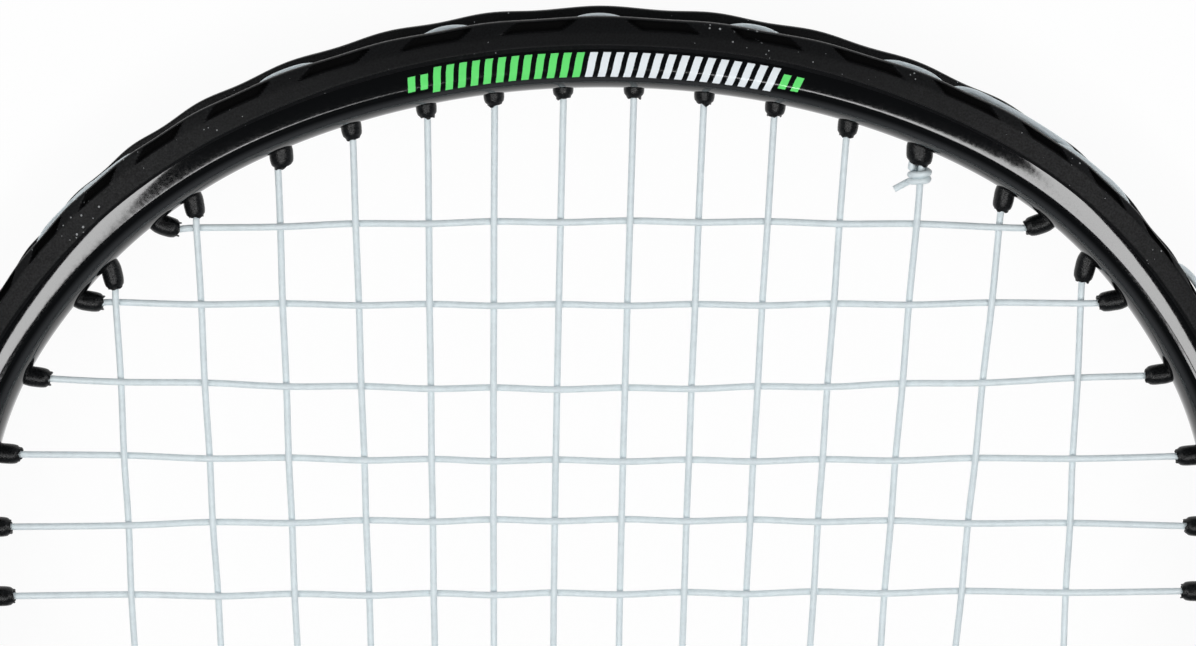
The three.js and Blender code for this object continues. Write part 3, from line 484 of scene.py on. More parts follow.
def bridge_hole(x):
    """A hole through the bridge in line with its main string: its height on the bridge follows
    from the circle through that place."""
    level = bridge_centre - math.sqrt(bridge_radius ** 2 - x ** 2)
    run = bridge_radius * math.asin(-x / (bridge_radius + bridge_floor))
    return {
        "base": np.array([x, level, bed_level]), "outward": np.array([0, -1.0, 0]),
        "along": np.array([-1.0, 0, 0]), "stretch": 0.0, "own": 0.0, "lean": 0.0,
        "on": on_bridge, "run": run, "tip": bridge_tip, "floor": bridge_floor,
        "inner": -bridge_half}


def through(hole, out, shift=None):
    """A point of a hole's axis: so far outward, moved along the frame by the shift, and beyond
    the frame's inner face by its share of the lean."""
    beyond = np.clip((hole["inner"] - out) / barrel_length, 0, 1)
    shift = (hole["own"] if shift is None else shift) + hole["lean"] * beyond
    return hole["base"] + out * hole["outward"] + shift * hole["along"]


tip_lines = {side: on_rim(side * half_arc, rim_tip, 0) for side in (-1, 1)}
head_part = half_arc < half_arc[head_steps]


def place_of(main):
    """The side of the middle that a main string is on, and its rank from there outward."""
    if main <= outer_rank:
        return -1, outer_rank - main
    return 1, main - outer_rank - 1


def top_hole(main):
    """A main's upper hole, where its place across meets the line of the barrels' tips. Two of
    them, wider than the rest, hold the start of the cross string and its match on the left."""
    side, rank = place_of(main)
    arc = np.interp(
        main_top_shares[side][rank] * inner_half_width, side * tip_lines[side][head_part, 0],
        half_arc[head_part])
    if main == tie_main:
        return rim_hole(arc, down_way, tie_stretch, tie_spread)
    if main == main_count - 1 - tie_main:
        return rim_hole(-arc, down_way, lone_stretch, -lone_spread)
    return rim_hole(side * arc, down_way)


def foot_hole(main):
    """A main's lower hole: in the bridge, or in the arm for the outermost on each side."""
    side, rank = place_of(main)
    if rank < outer_rank:
        return bridge_hole(side * main_foot_shares[rank] * bridge_reach)
    target = outer_foot_share * inner_half_width
    reach = side * tip_lines[side][~head_part, 0]
    arc = np.interp(target, reach[::-1], half_arc[~head_part][::-1])
    return rim_hole(side * arc, -down_way)


def cross_hole(cross, side):
    """A cross's hole, where its level meets the line of the barrels' tips. The holes where a
    string ends are wider."""
    level = inner_tip - cross_level_shares[side][cross] * bed_length
    arc = np.interp(level, tip_lines[side][::-1, 1], half_arc[::-1])
    way = np.array([-side, 0])
    if side < 0 and cross == left_tie_cross:
        return rim_hole(-arc, way, tie_stretch, -tie_spread)
    if cross == end_tie_cross:
        return rim_hole(side * arc, way, tie_stretch, tie_spread)
    return rim_hole(side * arc, way)


top_holes = [top_hole(main) for main in range(main_count)]
foot_holes = [foot_hole(main) for main in range(main_count)]
left_holes = [cross_hole(cross, -1) for cross in range(cross_count)]
right_holes = [cross_hole(cross, 1) for cross in range(cross_count)]


def own_tip(hole):
    """Where a hole's own string leaves the barrel's tip."""
    return through(hole, hole["tip"])


def main_x(main, y):
    """Across at a level: straight from the top hole to the foot, less half a sine of sway."""
    top, foot = own_tip(top_holes[main]), own_tip(foot_holes[main])
    share = (top[1] - y) / (top[1] - foot[1])
    sway = main_sways[main] * math.sin(math.pi * share)
    return top[0] + (foot[0] - top[0]) * share - sway


def cross_y(cross, x):
    """Level at a place across: straight from hole to hole plus a parabola of bow."""
    left, right = own_tip(left_holes[cross]), own_tip(right_holes[cross])
    share = (x - left[0]) / (right[0] - left[0])
    bow = cross_bow_shares[cross] * cross_bow * 4 * share * (1 - share)
    return left[1] + (right[1] - left[1]) * share + bow


def meeting(main, cross):
    """Where a main and a cross meet, found by going back and forth between their two lines."""
    y = own_tip(left_holes[cross])[1]
    for _ in range(4):
        x = main_x(main, y)
        y = cross_y(cross, x)
    return x, y


weave_height = 0.5 * mm


def strands():
    """Every main's points from the top down and every cross's from left to right: at a meeting
    one lies about half a string over the bed and the other as far under it, by turns."""
    mains = [[] for _ in range(main_count)]
    crosses = [[] for _ in range(cross_count)]
    for main in range(main_count):
        for cross in range(cross_count):
            x, y = meeting(main, cross)
            on_main = own_tip(foot_holes[main])[1] < y < own_tip(top_holes[main])[1]
            on_cross = own_tip(left_holes[cross])[0] < x < own_tip(right_holes[cross])[0]
            if on_main and on_cross:
                up = weave_height if (main + cross) % 2 == 1 else -weave_height
                mains[main].append([x, y, bed_level + up])
                crosses[cross].append([x, y, bed_level - up])
    return [np.array(points) for points in mains], [np.array(points) for points in crosses]


main_strands, cross_strands = strands()

# Grommet barrels
# Short black tubes that line every hole, moulded in one piece with the strips outside the frame.
# Each one is pulled over towards its string, and the string has torn its lip.

barrel_root_radius = 1.6 * mm
barrel_tip_radius = 1.15 * mm
barrel_seat = 2.5 * mm
barrel_step = 0.35 * mm
barrel_sides = 20
taper_start = 0.6
middle_share = 0.45
tear_counts = (1, 2, 4, 6)
least_tear, most_tear = 0.04, 0.13
# The lip's rings: share of the tip's radius, distance past the tip, and whether it is torn
lip_rings = (
    (1, 0.16 * mm, 1), (0.9, 0.24 * mm, 1), (0.76, 0.14 * mm, 1), (0.7, -0.15 * mm, 0),
    (0.68, -0.7 * mm, 0))
string_inside = 1.5 * mm
string_outside = 0.9 * mm
string_ahead = 0.6 * mm


def unit(vector):
    """The vector at length one."""
    return vector / np.linalg.norm(vector)


def cut_up(line, spacing, rounding):
    """Each stretch of a line cut into even pieces, as many as its length over the spacing, rounded
    as asked. Given for each piece: the number of its stretch, and the share passed before it."""
    lengths = np.linalg.norm(np.diff(line, axis=0), axis=1)
    pieces = np.maximum(1, rounding(lengths / spacing)).astype(int)
    index = np.repeat(np.arange(len(pieces)), pieces)
    starts = np.concatenate([[0], np.cumsum(pieces)[:-1]])
    return index, ((np.arange(pieces.sum()) - starts[index]) / pieces[index])[:, None]


def smooth_line(points, spacing):
    """A line through all its points at about even spacing: on each stretch the usual cubic of
    four neighbouring points, weighted by powers of the share passed."""
    points = np.asarray(points)
    ends = np.concatenate([[2 * points[0] - points[1]], points, [2 * points[-1] - points[-2]]])
    index, share = cut_up(points, spacing, np.round)
    a, b, c, d = (ends[index + i] for i in range(4))
    line = b + 0.5 * share * (
        c - a + share * (2 * a - 5 * b + 4 * c - d + share * (3 * (b - c) + d - a)))
    return np.concatenate([line, points[-1:]])


def frames_along(line, first_side):
    """Unit vectors along and across a line that turn as little as they can: the side vector is
    projected at every point, and the twist between neighbours is summed up and taken back."""
    along = np.gradient(line, axis=0)
    along /= np.linalg.norm(along, axis=1)[:, None]
    side = first_side - along * (along @ first_side)[:, None]
    side /= np.maximum(np.linalg.norm(side, axis=1), 1e-9)[:, None]
    across = np.cross(along, side)
    carried = side[:-1] - along[1:] * np.einsum("ij,ij->i", side[:-1], along[1:])[:, None]
    twist = np.arctan2(
        np.einsum("ij,ij->i", carried, across[1:]), np.einsum("ij,ij->i", carried, side[1:]))
    turn = np.concatenate([[0], np.cumsum(twist)])[:, None]
    return (
        along, side * np.cos(turn) + across * np.sin(turn),
        across * np.cos(turn) - side * np.sin(turn))


def tube_along(line, radius, sides, first_side):
    """Rings round a line: the side vectors times the radius, cosine and sine of the angle."""
    _, side, across = frames_along(line, first_side)
    angle = np.linspace(0, 2 * math.pi, sides, endpoint=False)[None, :, None]
    radius = np.broadcast_to(np.asarray(radius, float), len(line))[:, None, None]
    ring = np.cos(angle) * side[:, None] + np.sin(angle) * across[:, None]
    return line[:, None] + radius * ring


random = np.random.default_rng(7)


def barrel_bend(hole, towards, shift=None):
    """The three last points of a string's way through a hole: inside the tube, at the frame's
    inner face, and beyond the barrel's tip on the way to its first crossing."""
    inner = hole["inner"]
    tip_point = through(hole, hole["tip"], shift)
    pull = unit(towards - tip_point)
    return [
        through(hole, inner + string_inside, shift), through(hole, inner - string_outside, shift),
        tip_point + string_ahead * pull]


def barrel_skin(hole, towards, reach):
    """A barrel: rings along a line that leaves the frame square and bends towards the string.
    Along the taper the radius falls from the root's to the tip's by the root of one less the
    cube of the share passed. The torn lip is a sum of cosines, and turns in round the string."""
    inner = hole["inner"]
    tip_point = through(hole, hole["tip"], 0.0)
    pull = unit(towards - tip_point)
    line = smooth_line([
        through(hole, inner + barrel_seat, 0.0), through(hole, inner, 0.0),
        through(hole, inner - middle_share * reach, 0.0),
        tip_point + (reach - barrel_length) * pull], barrel_step)
    share = arc_lengths(line) / arc_lengths(line)[-1]
    taper = np.clip((share - taper_start) / (1 - taper_start), 0, 1)
    radius = barrel_tip_radius + (barrel_root_radius - barrel_tip_radius) * np.sqrt(
        np.clip(1 - taper ** 3, 0, 1))
    points = tube_along(line, radius, barrel_sides, np.array([0, 0, 1.0]))
    angle = np.linspace(0, 2 * math.pi, barrel_sides, endpoint=False)
    tear = sum(
        random.uniform(least_tear, most_tear) * mm * np.cos(count * angle + random.uniform(0, 6))
        for count in tear_counts)
    ahead = unit(line[-1] - line[-2])
    spread = points[-1] - line[-1]
    lip = [
        line[-1] + spread * share + (past + torn * tear)[:, None] * ahead
        for share, past, torn in lip_rings]
    points = np.concatenate([points, np.array(lip)])
    off = (points - hole["base"]) @ hole["along"]
    return skin(points + hole["stretch"] * off[..., None] * hole["along"])


# Every barrel's hole, and the first crossing that its string meets beyond it
foot_barrels = [(hole, strand[-1]) for hole, strand in zip(foot_holes, main_strands)]
rim_barrels = (
    [(hole, strand[0]) for hole, strand in zip(top_holes, main_strands)]
    + [(hole, strand[0]) for hole, strand in zip(left_holes, cross_strands)]
    + [(hole, strand[-1]) for hole, strand in zip(right_holes, cross_strands)]
    + [foot_barrels[0], foot_barrels[-1]])
bridge_barrels = foot_barrels[1:-1]

reach_places = np.array([5, 30, 80]) * mm
reaches = np.array([1.5, 1.9, 3.2]) * mm


def barrel_reach(arc):
    """How far a barrel stands out: least at the tip of the head, more down the sides."""
    return np.interp(abs(arc), reach_places, reaches)


# Moulded nylon grommets, black with a soft gloss, scuffed paler where the strings rub.
grommet_nylon = grained_finish(
    "Moulded grommet nylon", (0.35 * mm, 5, 0.65), (0.6, 0.08 * mm),
    {"IOR": 1.53, "Specular IOR Level": 0.25}, ((0.5, "#060708"), (0.8, "#16181a")), (0.2, 0.4))

# Bumper guard
# One moulded channel that caps the outside of the head's upper half. Its two rims, which shield
# the strings in the groove between them, rise between its slots and dip over them.

slot_arcs = np.array([9.05, 24, 39.1, 54.2, 67.2, 78.4, 89.3, 99.8]) * mm
slot_lengths = np.array([8.7, 8.7, 8.9, 8.7, 6.8, 5.9, 6, 5.8]) * mm
slots_off_middle = 0.5 * mm
slot_slant = 2.4 * mm
slot_height = 1.3 * mm
slot_level = 5.5 * mm
slot_depth = 1.4 * mm
slot_flank = 4.3 * mm
slot_tip_edge, slot_far_edge, slot_side_edge = 0.25 * mm, 1.1 * mm, 0.2 * mm
crest_places = np.array([-140, -100, -78, -50, 0, 50, 78, 100, 140]) * mm
crest_heights = np.array([5.75, 5.95, 6.45, 6.55, 6.7, 6.4, 6.05, 5.3, 5.4]) * mm
front_wave, back_wave, wave_tail = 0.09 * mm, 0.19 * mm, 6 * mm
rim_foot, rim_rise = 4.9 * mm, 1.5 * mm
lip_foot, lip_width, lip_height = 4.8 * mm, 2.1 * mm, 5.3 * mm
lip_pull, pull_start, pull_run = 0.7 * mm, 22 * mm, 42 * mm
corner_steps = 5
bumper_step = 0.42 * mm
sharp_corner = 35
bumper_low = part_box("bumper_guard")[0].y
bumper_end = np.interp(-bumper_low, -right_half[:, 1], half_arc)


def rounded(corners, radii, steps=corner_steps):
    """An outline with rounded corners: at each corner the quadratic curve between the two points
    that lie the radius away along its sides."""
    corners = np.asarray(corners, float)
    radii = np.broadcast_to(np.asarray(radii, float), len(corners))[:, None]
    before = np.roll(corners, 1, axis=0) - corners
    after = np.roll(corners, -1, axis=0) - corners
    start = corners + before / np.linalg.norm(before, axis=1)[:, None] * radii
    end = corners + after / np.linalg.norm(after, axis=1)[:, None] * radii
    share = np.linspace(0, 1, steps)[:, None, None]
    curve = (1 - share) ** 2 * start + 2 * share * (1 - share) * corners + share ** 2 * end
    return curve.transpose(1, 0, 2).reshape(-1, 2)


def spread_out(line, spacing):
    """Extra points on a line's long stretches, at the spacing or closer."""
    index, share = cut_up(line, spacing, np.ceil)
    return np.concatenate([line[index] * (1 - share) + line[index + 1] * share, line[-1:]])


def bumper_outline():
    """Outward distance and height round the guard's section: flank, shoulder, rim, groove, and
    the same mirrored, closed along the tube's own section. The flank and the shoulder, where the
    slots are, have more points."""
    half = [[2.65, 6.25], [4.8, 5.7], [6.4, 4.75], [6.4, 3.55], [4.95, 3.1]]
    radii = [0.25, 0.5, 0.35, 0.3, 0.4]
    seat_half, seat_turn = [4.2, 6.05], math.radians(66)
    slotted, slotted_spacing = 2 * corner_steps + 1, 0.14
    seat = np.stack(squared_off(np.linspace(1, -1, 21) * seat_turn), axis=1) * seat_half
    upper = rounded(half + [[4.95, -3.1]], radii + [0.4])[:len(half) * corner_steps]
    upper = np.concatenate([spread_out(upper[:slotted], slotted_spacing), upper[slotted:]])
    outer = np.concatenate([upper, (upper * [1, -1])[::-1]]) * mm
    return np.concatenate([outer, seat[::-1] * mm])


def bumper_points():
    """The section carried along the head. The rims' outward distance follows a cosine wave that
    dips at each slot, the lips on the tube draw in down the sides, and the flanks sink by the
    slot's depth inside each slanted slot. The uv map has the arc length and how far it sinks."""
    arc = np.arange(-bumper_end, bumper_end, bumper_step)[:, None]
    out, up = bumper_outline().T
    away = np.abs(arc - slots_off_middle)
    phase = np.interp(
        away, np.concatenate([[0], slot_arcs, [slot_arcs[-1] + wave_tail]]),
        np.concatenate([[-0.5], np.arange(len(slot_arcs)), [len(slot_arcs) - 0.5]]))
    wave = -np.where(up > 0, front_wave, back_wave) * np.cos(2 * math.pi * phase)
    crest = np.interp(arc, crest_places, crest_heights) + wave
    near_rim = np.clip((out - rim_foot) / rim_rise, 0, 1)
    near_lip = np.clip((lip_foot - out) / lip_width, 0, 1) * (np.abs(up) > lip_height)
    pulled = lip_pull * near_lip * (1 - np.cos(math.pi * np.clip(
        (np.abs(arc) - pull_start) / pull_run, 0, 1))) / 2
    new_out = out + near_rim * (crest - bumper_rim) - pulled
    level = (out - slot_level) / slot_height
    sunk = np.zeros(np.broadcast_shapes(arc.shape, out.shape))
    for slot_arc, length in zip(slot_arcs, slot_lengths):
        offset = away - slot_arc + slot_slant * level
        edge = np.minimum(
            (length / 2 + offset) / slot_tip_edge, (length / 2 - offset) / slot_far_edge)
        edge = np.minimum(edge, (0.5 - np.abs(level)) * slot_height / slot_side_edge)
        sunk = np.maximum(sunk, np.clip(edge, 0, 1))
    sunk = sunk * (np.abs(up) > slot_flank)
    new_up = up - np.sign(up) * sunk * slot_depth
    closed = np.concatenate([sunk, sunk[:, :1]], axis=1)
    uv = np.stack([np.broadcast_to(arc, closed.shape), closed], axis=-1)
    return on_rim(arc, new_out, new_up), uv


# Elastomer moulded in a sparked tool: charcoal, matte and finely grained, painted near black as
# shade inside the slots, which the uv map marks, with pale specks of dust. The specks are drawn
# coarser than the real ones.
bumper_elastomer, tree = new_material("Matte moulded elastomer")
place = add(tree, "TexCoord")
inside = add(tree, "SeparateXYZ", {"Vector": add(tree, "UVMap", uv_map="along")})
grain = add(tree, "TexNoise", {
    "Vector": place.outputs["Object"], "Scale": 1 / (0.3 * mm), "Detail": 2, "Roughness": 0.6})
cloud = add(tree, "TexNoise", {
    "Vector": place.outputs["Object"], "Scale": 1 / (9 * mm), "Detail": 4})
specks = add(tree, "TexVoronoi", {
    "Vector": place.outputs["Object"], "Scale": 1 / (1.1 * mm), "Randomness": 1})
speck_size = add(tree, "MapRange", {
    "Value": cloud, "From Min": 0.44, "From Max": 0.7, "To Min": 0, "To Max": 0.17})
speck = add(tree, "Math", {0: specks, 1: speck_size}, operation="LESS_THAN")
tone = add(tree, "ValToRGB", {"Fac": grain})
for stop, position, colour in zip(
        tone.color_ramp.elements, (0.35, 0.68), ("#030304", "#131415")):
    stop.position, stop.color = position, linear(colour)
dusty = add(tree, "Mix", {0: speck, 6: tone, 7: linear("#8d8f90")}, data_type="RGBA")
# Painted shade: where the uv map marks the slots as sunk, the colour is mixed to near black.
painted_slot_shade = add(tree, "Mix", {0: inside.outputs["Y"], 6: dusty, 7: linear("#020202")}, data_type="RGBA")
shine = add(tree, "MapRange", {
    "Value": grain, "From Min": 0.35, "From Max": 0.65, "To Min": 0.52, "To Max": 0.36})
dull = add(tree, "MapRange", {
    "Value": inside.outputs["Y"], "From Min": 0, "From Max": 1, "To Min": shine,
    "To Max": 0.95})
surface = add(tree, "Bump", {"Height": grain, "Strength": 0.4, "Distance": 0.05 * mm})
paint = add(tree, "BsdfPrincipled", {
    "Base Color": painted_slot_shade, "Roughness": dull, "IOR": 1.5,
    "Specular IOR Level": 0.15, "Normal": surface})
add(tree, "OutputMaterial", {"Surface": paint})

guard_points, guard_uv = bumper_points()
make_piece(
    "bumper_channel", [skin(guard_points, guard_uv)], bumper_elastomer, "bumper_guard",
    sharp_corner)
guard_barrels = [
    barrel_skin(hole, towards, barrel_reach(hole["run"]))
    for hole, towards in rim_barrels if abs(hole["run"]) < bumper_end]
make_piece("bumper_barrels", guard_barrels, grommet_nylon, "bumper_guard")

# Side and throat strips
# Slim channels outside the arms and under the bridge, which carry the lower grommets and seat
# the strings between two low rims. Their barrels hold them in the frame.

strip_gap = 8.5 * mm
strip_end = rivet_arc - rivet_head_radius - strip_gap
throat_strip_margin = 3 * mm


def strip_outline(floor, seat):
    """Outward distance and height round a strip's section: two low rims and the floor between
    them, and its seat on the frame."""
    half_width, rim, wall, top = 3.9 * mm, 6 * mm, 0.7 * mm, 3 * mm
    low_rim, foot = half_width - wall, 0.55 * half_width
    corners = [
        [top, half_width], [rim, half_width], [rim, low_rim], [floor, low_rim],
        [floor, -low_rim], [rim, -low_rim], [rim, -half_width], [top, -half_width],
        [seat, -foot], [seat, foot]]
    radii = np.array([0.1, 0.3, 0.2, 0.25, 0.25, 0.2, 0.3, 0.1, 0.3, 0.3]) * mm
    return rounded(corners, radii)


for side, name in ((-1, "left"), (1, "right")):
    arc = np.linspace(side * (bumper_end + fit), side * strip_end, 220)[:, None]
    out, up = strip_outline(rim_floor, tube_outer_half).T
    barrels = [
        barrel_skin(hole, towards, barrel_reach(hole["run"]))
        for hole, towards in rim_barrels if side * hole["run"] > bumper_end]
    make_piece(
        f"{name}_grommet_strip", [skin(on_rim(arc, out, up))] + barrels, grommet_nylon,
        f"side_strip_{name}", sharp_corner)

throat_end = max(abs(hole["run"]) for hole, _ in bridge_barrels) + throat_strip_margin
arc = np.linspace(-throat_end, throat_end, 160)[:, None]
out, up = strip_outline(bridge_floor, bridge_half).T
make_piece(
    "bridge_grommet_strip",
    [skin(on_bridge(arc, out, up))]
    + [barrel_skin(hole, towards, barrel_length) for hole, towards in bridge_barrels],
    grommet_nylon, "throat_strip", sharp_corner)

# String bed
# Two nylon strings, one for the mains and one for the crosses. Each snakes over and under the
# other, turns in the groove outside the frame, and ends in a knot round a neighbour.

lane = 1.3 * mm
arch_rise = 1.05 * mm
arch_drop = 1.75 * mm
arch_reach = 5.4 * mm
lane_reach = 2.4 * mm
least_lane = 0.3
bend_reach = 0.7 * mm
groove_step = 1.5 * mm
knot_turns = 2.1
knot_start = 0.1 * mm
knot_aside = 0.4 * string_radius
knot_half_width = 2.6 * string_radius
knot_half_depth = 2.05 * string_radius
tail_length = 2.3 * mm
tail_ahead, tail_aside = 0.6, 0.95
tail_bend, tail_bend_aside = 0.5 * mm, 0.3 * mm
string_step = 0.7 * mm
string_sides = 12


def groove_run(start_hole, end_hole, side_lane, start_shift=None, end_shift=None):
    """Points in the groove from one hole to the next: over to the lane, along it, and back. The
    stiff string arches out: its rise over the floor falls off with the square of how near a hole
    is."""
    on = start_hole["on"]
    start_shift = start_hole["own"] if start_shift is None else start_shift
    end_shift = end_hole["own"] if end_shift is None else end_shift
    start = start_hole["run"] + start_shift
    end = end_hole["run"] + end_shift
    way = math.copysign(1, end - start)
    span = abs(end - start)
    count = max(5, int(span / groove_step))
    arcs = start + way * np.linspace(bend_reach, span - bend_reach, count)
    from_hole = np.minimum(np.abs(arcs - start), np.abs(arcs - end))
    sag = np.clip(1 - from_hole / arch_reach, 0, 1) ** 2
    outs = start_hole["floor"] + arch_rise - arch_drop * sag
    return list(on(arcs, outs, side_lane * np.clip(from_hole / lane_reach, least_lane, 1)))


def pass_out(hole, towards, shift=None):
    """A string's way out through a hole, to the floor of the groove."""
    return barrel_bend(hole, towards, shift)[::-1] + [through(hole, hole["floor"], shift)]


def pass_in(hole, towards, shift=None):
    """The same way, from the groove in."""
    return pass_out(hole, towards, shift)[::-1]


def knot(hole, towards, way_round):
    """A tie-off: right under the barrel the string winds down round its neighbour, on an oval
    helix with its turns touching, and leaves a short tail ahead and aside."""
    own = barrel_bend(hole, towards)[-1]
    ahead = unit(towards - own)
    guest = hole["along"] * -math.copysign(1, hole["own"])
    aside = unit(guest - ahead * (guest @ ahead))
    across = np.cross(ahead, aside) * way_round
    angle = np.arange(0, 2 * math.pi * knot_turns, math.pi / 7)
    down = knot_start + 2 * string_radius * angle / (2 * math.pi)
    helix = (
        own + knot_aside * aside + np.outer(down, ahead)
        + np.outer(knot_half_width * np.cos(angle), aside)
        + np.outer(knot_half_depth * np.sin(angle), across))
    leaving = unit(helix[-1] - helix[-2])
    tail = tail_ahead * ahead + tail_aside * aside
    bend = helix[-1] + tail_bend * leaving + tail_bend_aside * aside
    return list(helix) + [bend, bend + 0.5 * tail_length * tail, bend + tail_length * tail]


def guest_pass_out(hole, towards):
    """The guest string's way through a wide hole, on the other side of its axis."""
    return pass_out(hole, towards, -hole["own"])


def string_path(strands, first_holes, last_holes, lanes, start, end):
    """A whole string, from knot to knot: to and fro over its strands, the first of them backward,
    with a run in one of the groove's lanes from each hole to the next. Its two ends are each
    given by a wide hole, the crossing beyond it and the way round of the knot."""
    hole, towards, way_round = start
    points = knot(hole, towards, way_round)[::-1] + guest_pass_out(hole, towards)[1:]
    points += groove_run(hole, last_holes[0], lanes[0], -hole["own"])
    for index, strand in enumerate(strands):
        into, out_of = first_holes, last_holes
        if index % 2 == 0:
            into, out_of, strand = last_holes, first_holes, strand[::-1]
        points += (
            pass_in(into[index], strand[0]) + list(strand) + pass_out(out_of[index], strand[-1]))
        if index < len(strands) - 1:
            points += groove_run(out_of[index], out_of[index + 1], lanes[index + 1])
    hole, towards, way_round = end
    points += groove_run(out_of[-1], hole, lanes[-1], None, -hole["own"])
    return points + guest_pass_out(hole, towards)[::-1][:-1] + knot(hole, towards, way_round)


# The main string runs from the left tie-off up the first main, down the second, and so on to the
# right one, and takes the lane only where the groove is shared. The cross string runs from a knot
# on a main near the tip to the first cross, and so on down to the left tie-off.
main_lanes = [lane, lane] + [0] * (main_count - 3) + [lane, lane]
main_path = string_path(
    main_strands, top_holes, foot_holes, main_lanes,
    (left_holes[left_tie_cross], cross_strands[left_tie_cross][0], 1),
    (right_holes[end_tie_cross], cross_strands[end_tie_cross][-1], -1))
cross_path = string_path(
    cross_strands, left_holes, right_holes, [-lane] * (cross_count + 1),
    (top_holes[tie_main], main_strands[tie_main][0], 1),
    (left_holes[end_tie_cross], cross_strands[end_tie_cross][0], 1))

# Extruded nylon monofilament with a worn clear coat: pale grey-blue, semi-gloss, a little
# translucent, with fine dirt.
string_nylon = grained_finish(
    "Coated nylon string", (1.5 * mm, 5, 0.7), (0.2, 0.03 * mm),
    {"Roughness": 0.38, "IOR": 1.53, "Subsurface Weight": 0.15, "Subsurface Scale": 0.5 * mm,
     "Subsurface Radius": (1, 1, 1)}, ((0.4, "#e0eaed"), (0.85, "#d0dadd")))

for name, path in (("main_string", main_path), ("cross_string", cross_path)):
    line = smooth_line(path, string_step)
    rings = tube_along(line, string_radius, string_sides, np.array([0, 0, 1.0]))
    make_piece(f"{name}s", [skin(rings)], string_nylon, name)

# Handle
# Two ribbed plastic shells round the tubes, plugged by a rubber-like cap at the butt, closed by a
# ferrule at the top, and wound with a tacky grip whose end is taped down under a rubber collar.

core_half_width = 14 * mm
core_half_height = 12.25 * mm
bevel_width_share = 0.52
bevel_height_share = 0.45
core_rounding = 2 * mm
core_columns = 96
core_top = shaft_top - 10 * mm
grip_top = core_top - 16 * mm
grip_thickness = 1.7 * mm
soft_corner = 60


def octagon(growth, rounding, count, half_width=core_half_width, half_height=core_half_height):
    """The handle's eight-sided section with rounded corners, moved outward by the growth and
    shared out into points at even distances round it."""
    low = np.array([half_width, bevel_height_share * half_height])
    high = np.array([bevel_width_share * half_width, half_height])
    normal = unit(np.array([high[1] - low[1], low[0] - high[0]]))
    reach = low @ normal + growth
    width, height = half_width + growth, half_height + growth
    bevel_x = (reach - normal[1] * height) / normal[0]
    bevel_z = (reach - normal[0] * width) / normal[1]
    corners = [
        [width, bevel_z], [bevel_x, height], [-bevel_x, height], [-width, bevel_z],
        [-width, -bevel_z], [-bevel_x, -height], [bevel_x, -height], [width, -bevel_z]]
    line = rounded(corners, rounding, 7)
    closed = np.concatenate([line, line[:1]])
    arc = arc_lengths(closed)
    even = np.linspace(0, arc[-1], count, endpoint=False)
    return np.stack([np.interp(even, arc, column) for column in closed.T], axis=1)


def octagon_loft(levels, growths, rounding=core_rounding, count=core_columns):
    """Rings of the handle's section, one at each level, each with its own growth."""
    rings = [
        np.insert(octagon(growth, rounding, count), 1, level, axis=1)
        for level, growth in zip(levels, growths)]
    return np.array(rings) + [0, 0, bed_level]


# Injection-moulded ABS, only seen where the handle is open: black, satin, with a fine grain.
shell_abs = grained_finish(
    "Moulded shell ABS", (0.5 * mm, 3, 0.5), (0.4, 0.04 * mm),
    {"Base Color": linear("#1a1b1d"), "IOR": 1.54}, shine=(0.34, 0.5))

for name, finish in (
        ("handle_shell_front", shell_abs), ("handle_shell_back", shell_abs),
        ("butt_cap_tack_front", rivet_aluminium), ("butt_cap_tack_back", rivet_aluminium)):
    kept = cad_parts[name]
    kept.data.materials.clear()
    kept.data.materials.append(finish)

# The butt cap is a soft moulded plug: a lip over the shells' ends, a rounded end, and a sunk oval
# panel in it.
cap_profile = np.array([
    [1.15, -5.2], [0.35, -4.6], [0, -3.6], [0, 0.4], [0.25, 1.3], [0.9, 2.4],
    [1.7, 3.15], [2.6, 3.4], [3.3, 3.4], [3.5, 3.15], [3.75, 3.15], [3.95, 3.4], [4.3, 3.35],
    [4.8, 3.1], [5.5, 2.4], [6, 1.7], [6, -2.5], [17.3, -2.6], [17.3, -4.6]]) * mm
cap_rings = octagon_loft(butt + cap_profile[:, 0], cap_profile[:, 1])

# Thermoplastic rubber from a sparked mould: dark grey-black, matte, dusty in its grain.
cap_rubber, tree = new_material("Moulded thermoplastic rubber")
place = add(tree, "TexCoord")
grain = add(tree, "TexNoise", {
    "Vector": place.outputs["Object"], "Scale": 1 / (0.3 * mm), "Detail": 4, "Roughness": 0.65})
wear = add(tree, "TexNoise", {
    "Vector": place.outputs["Object"], "Scale": 1 / (6 * mm), "Detail": 4})
tone = add(tree, "ValToRGB", {"Fac": wear})
for stop, position, colour in zip(
        tone.color_ramp.elements, (0.45, 0.8), ("#161718", "#2c2e30")):
    stop.position, stop.color = position, linear(colour)
surface = add(tree, "Bump", {"Height": grain, "Strength": 0.5, "Distance": 0.06 * mm})
paint = add(tree, "BsdfPrincipled", {
    "Base Color": tone, "Roughness": 0.66, "IOR": 1.5,
    "Normal": surface})
add(tree, "OutputMaterial", {"Surface": paint})
make_piece("rubber_butt", [skin(cap_rings)], cap_rubber, "butt_cap", soft_corner)

grip_pitch = 16.8 * mm
grip_columns = 144
grip_rows = 620
grip_girth = 86 * mm
grip_start = butt + 6.6 * mm
grip_rounding = 3 * mm
seam_half = 1.1 * mm
ridge_place, ridge_width = 2.1 * mm, 0.5 * mm
seam_height, crown_height, ridge_height = 0.42, 0.52, 0.1


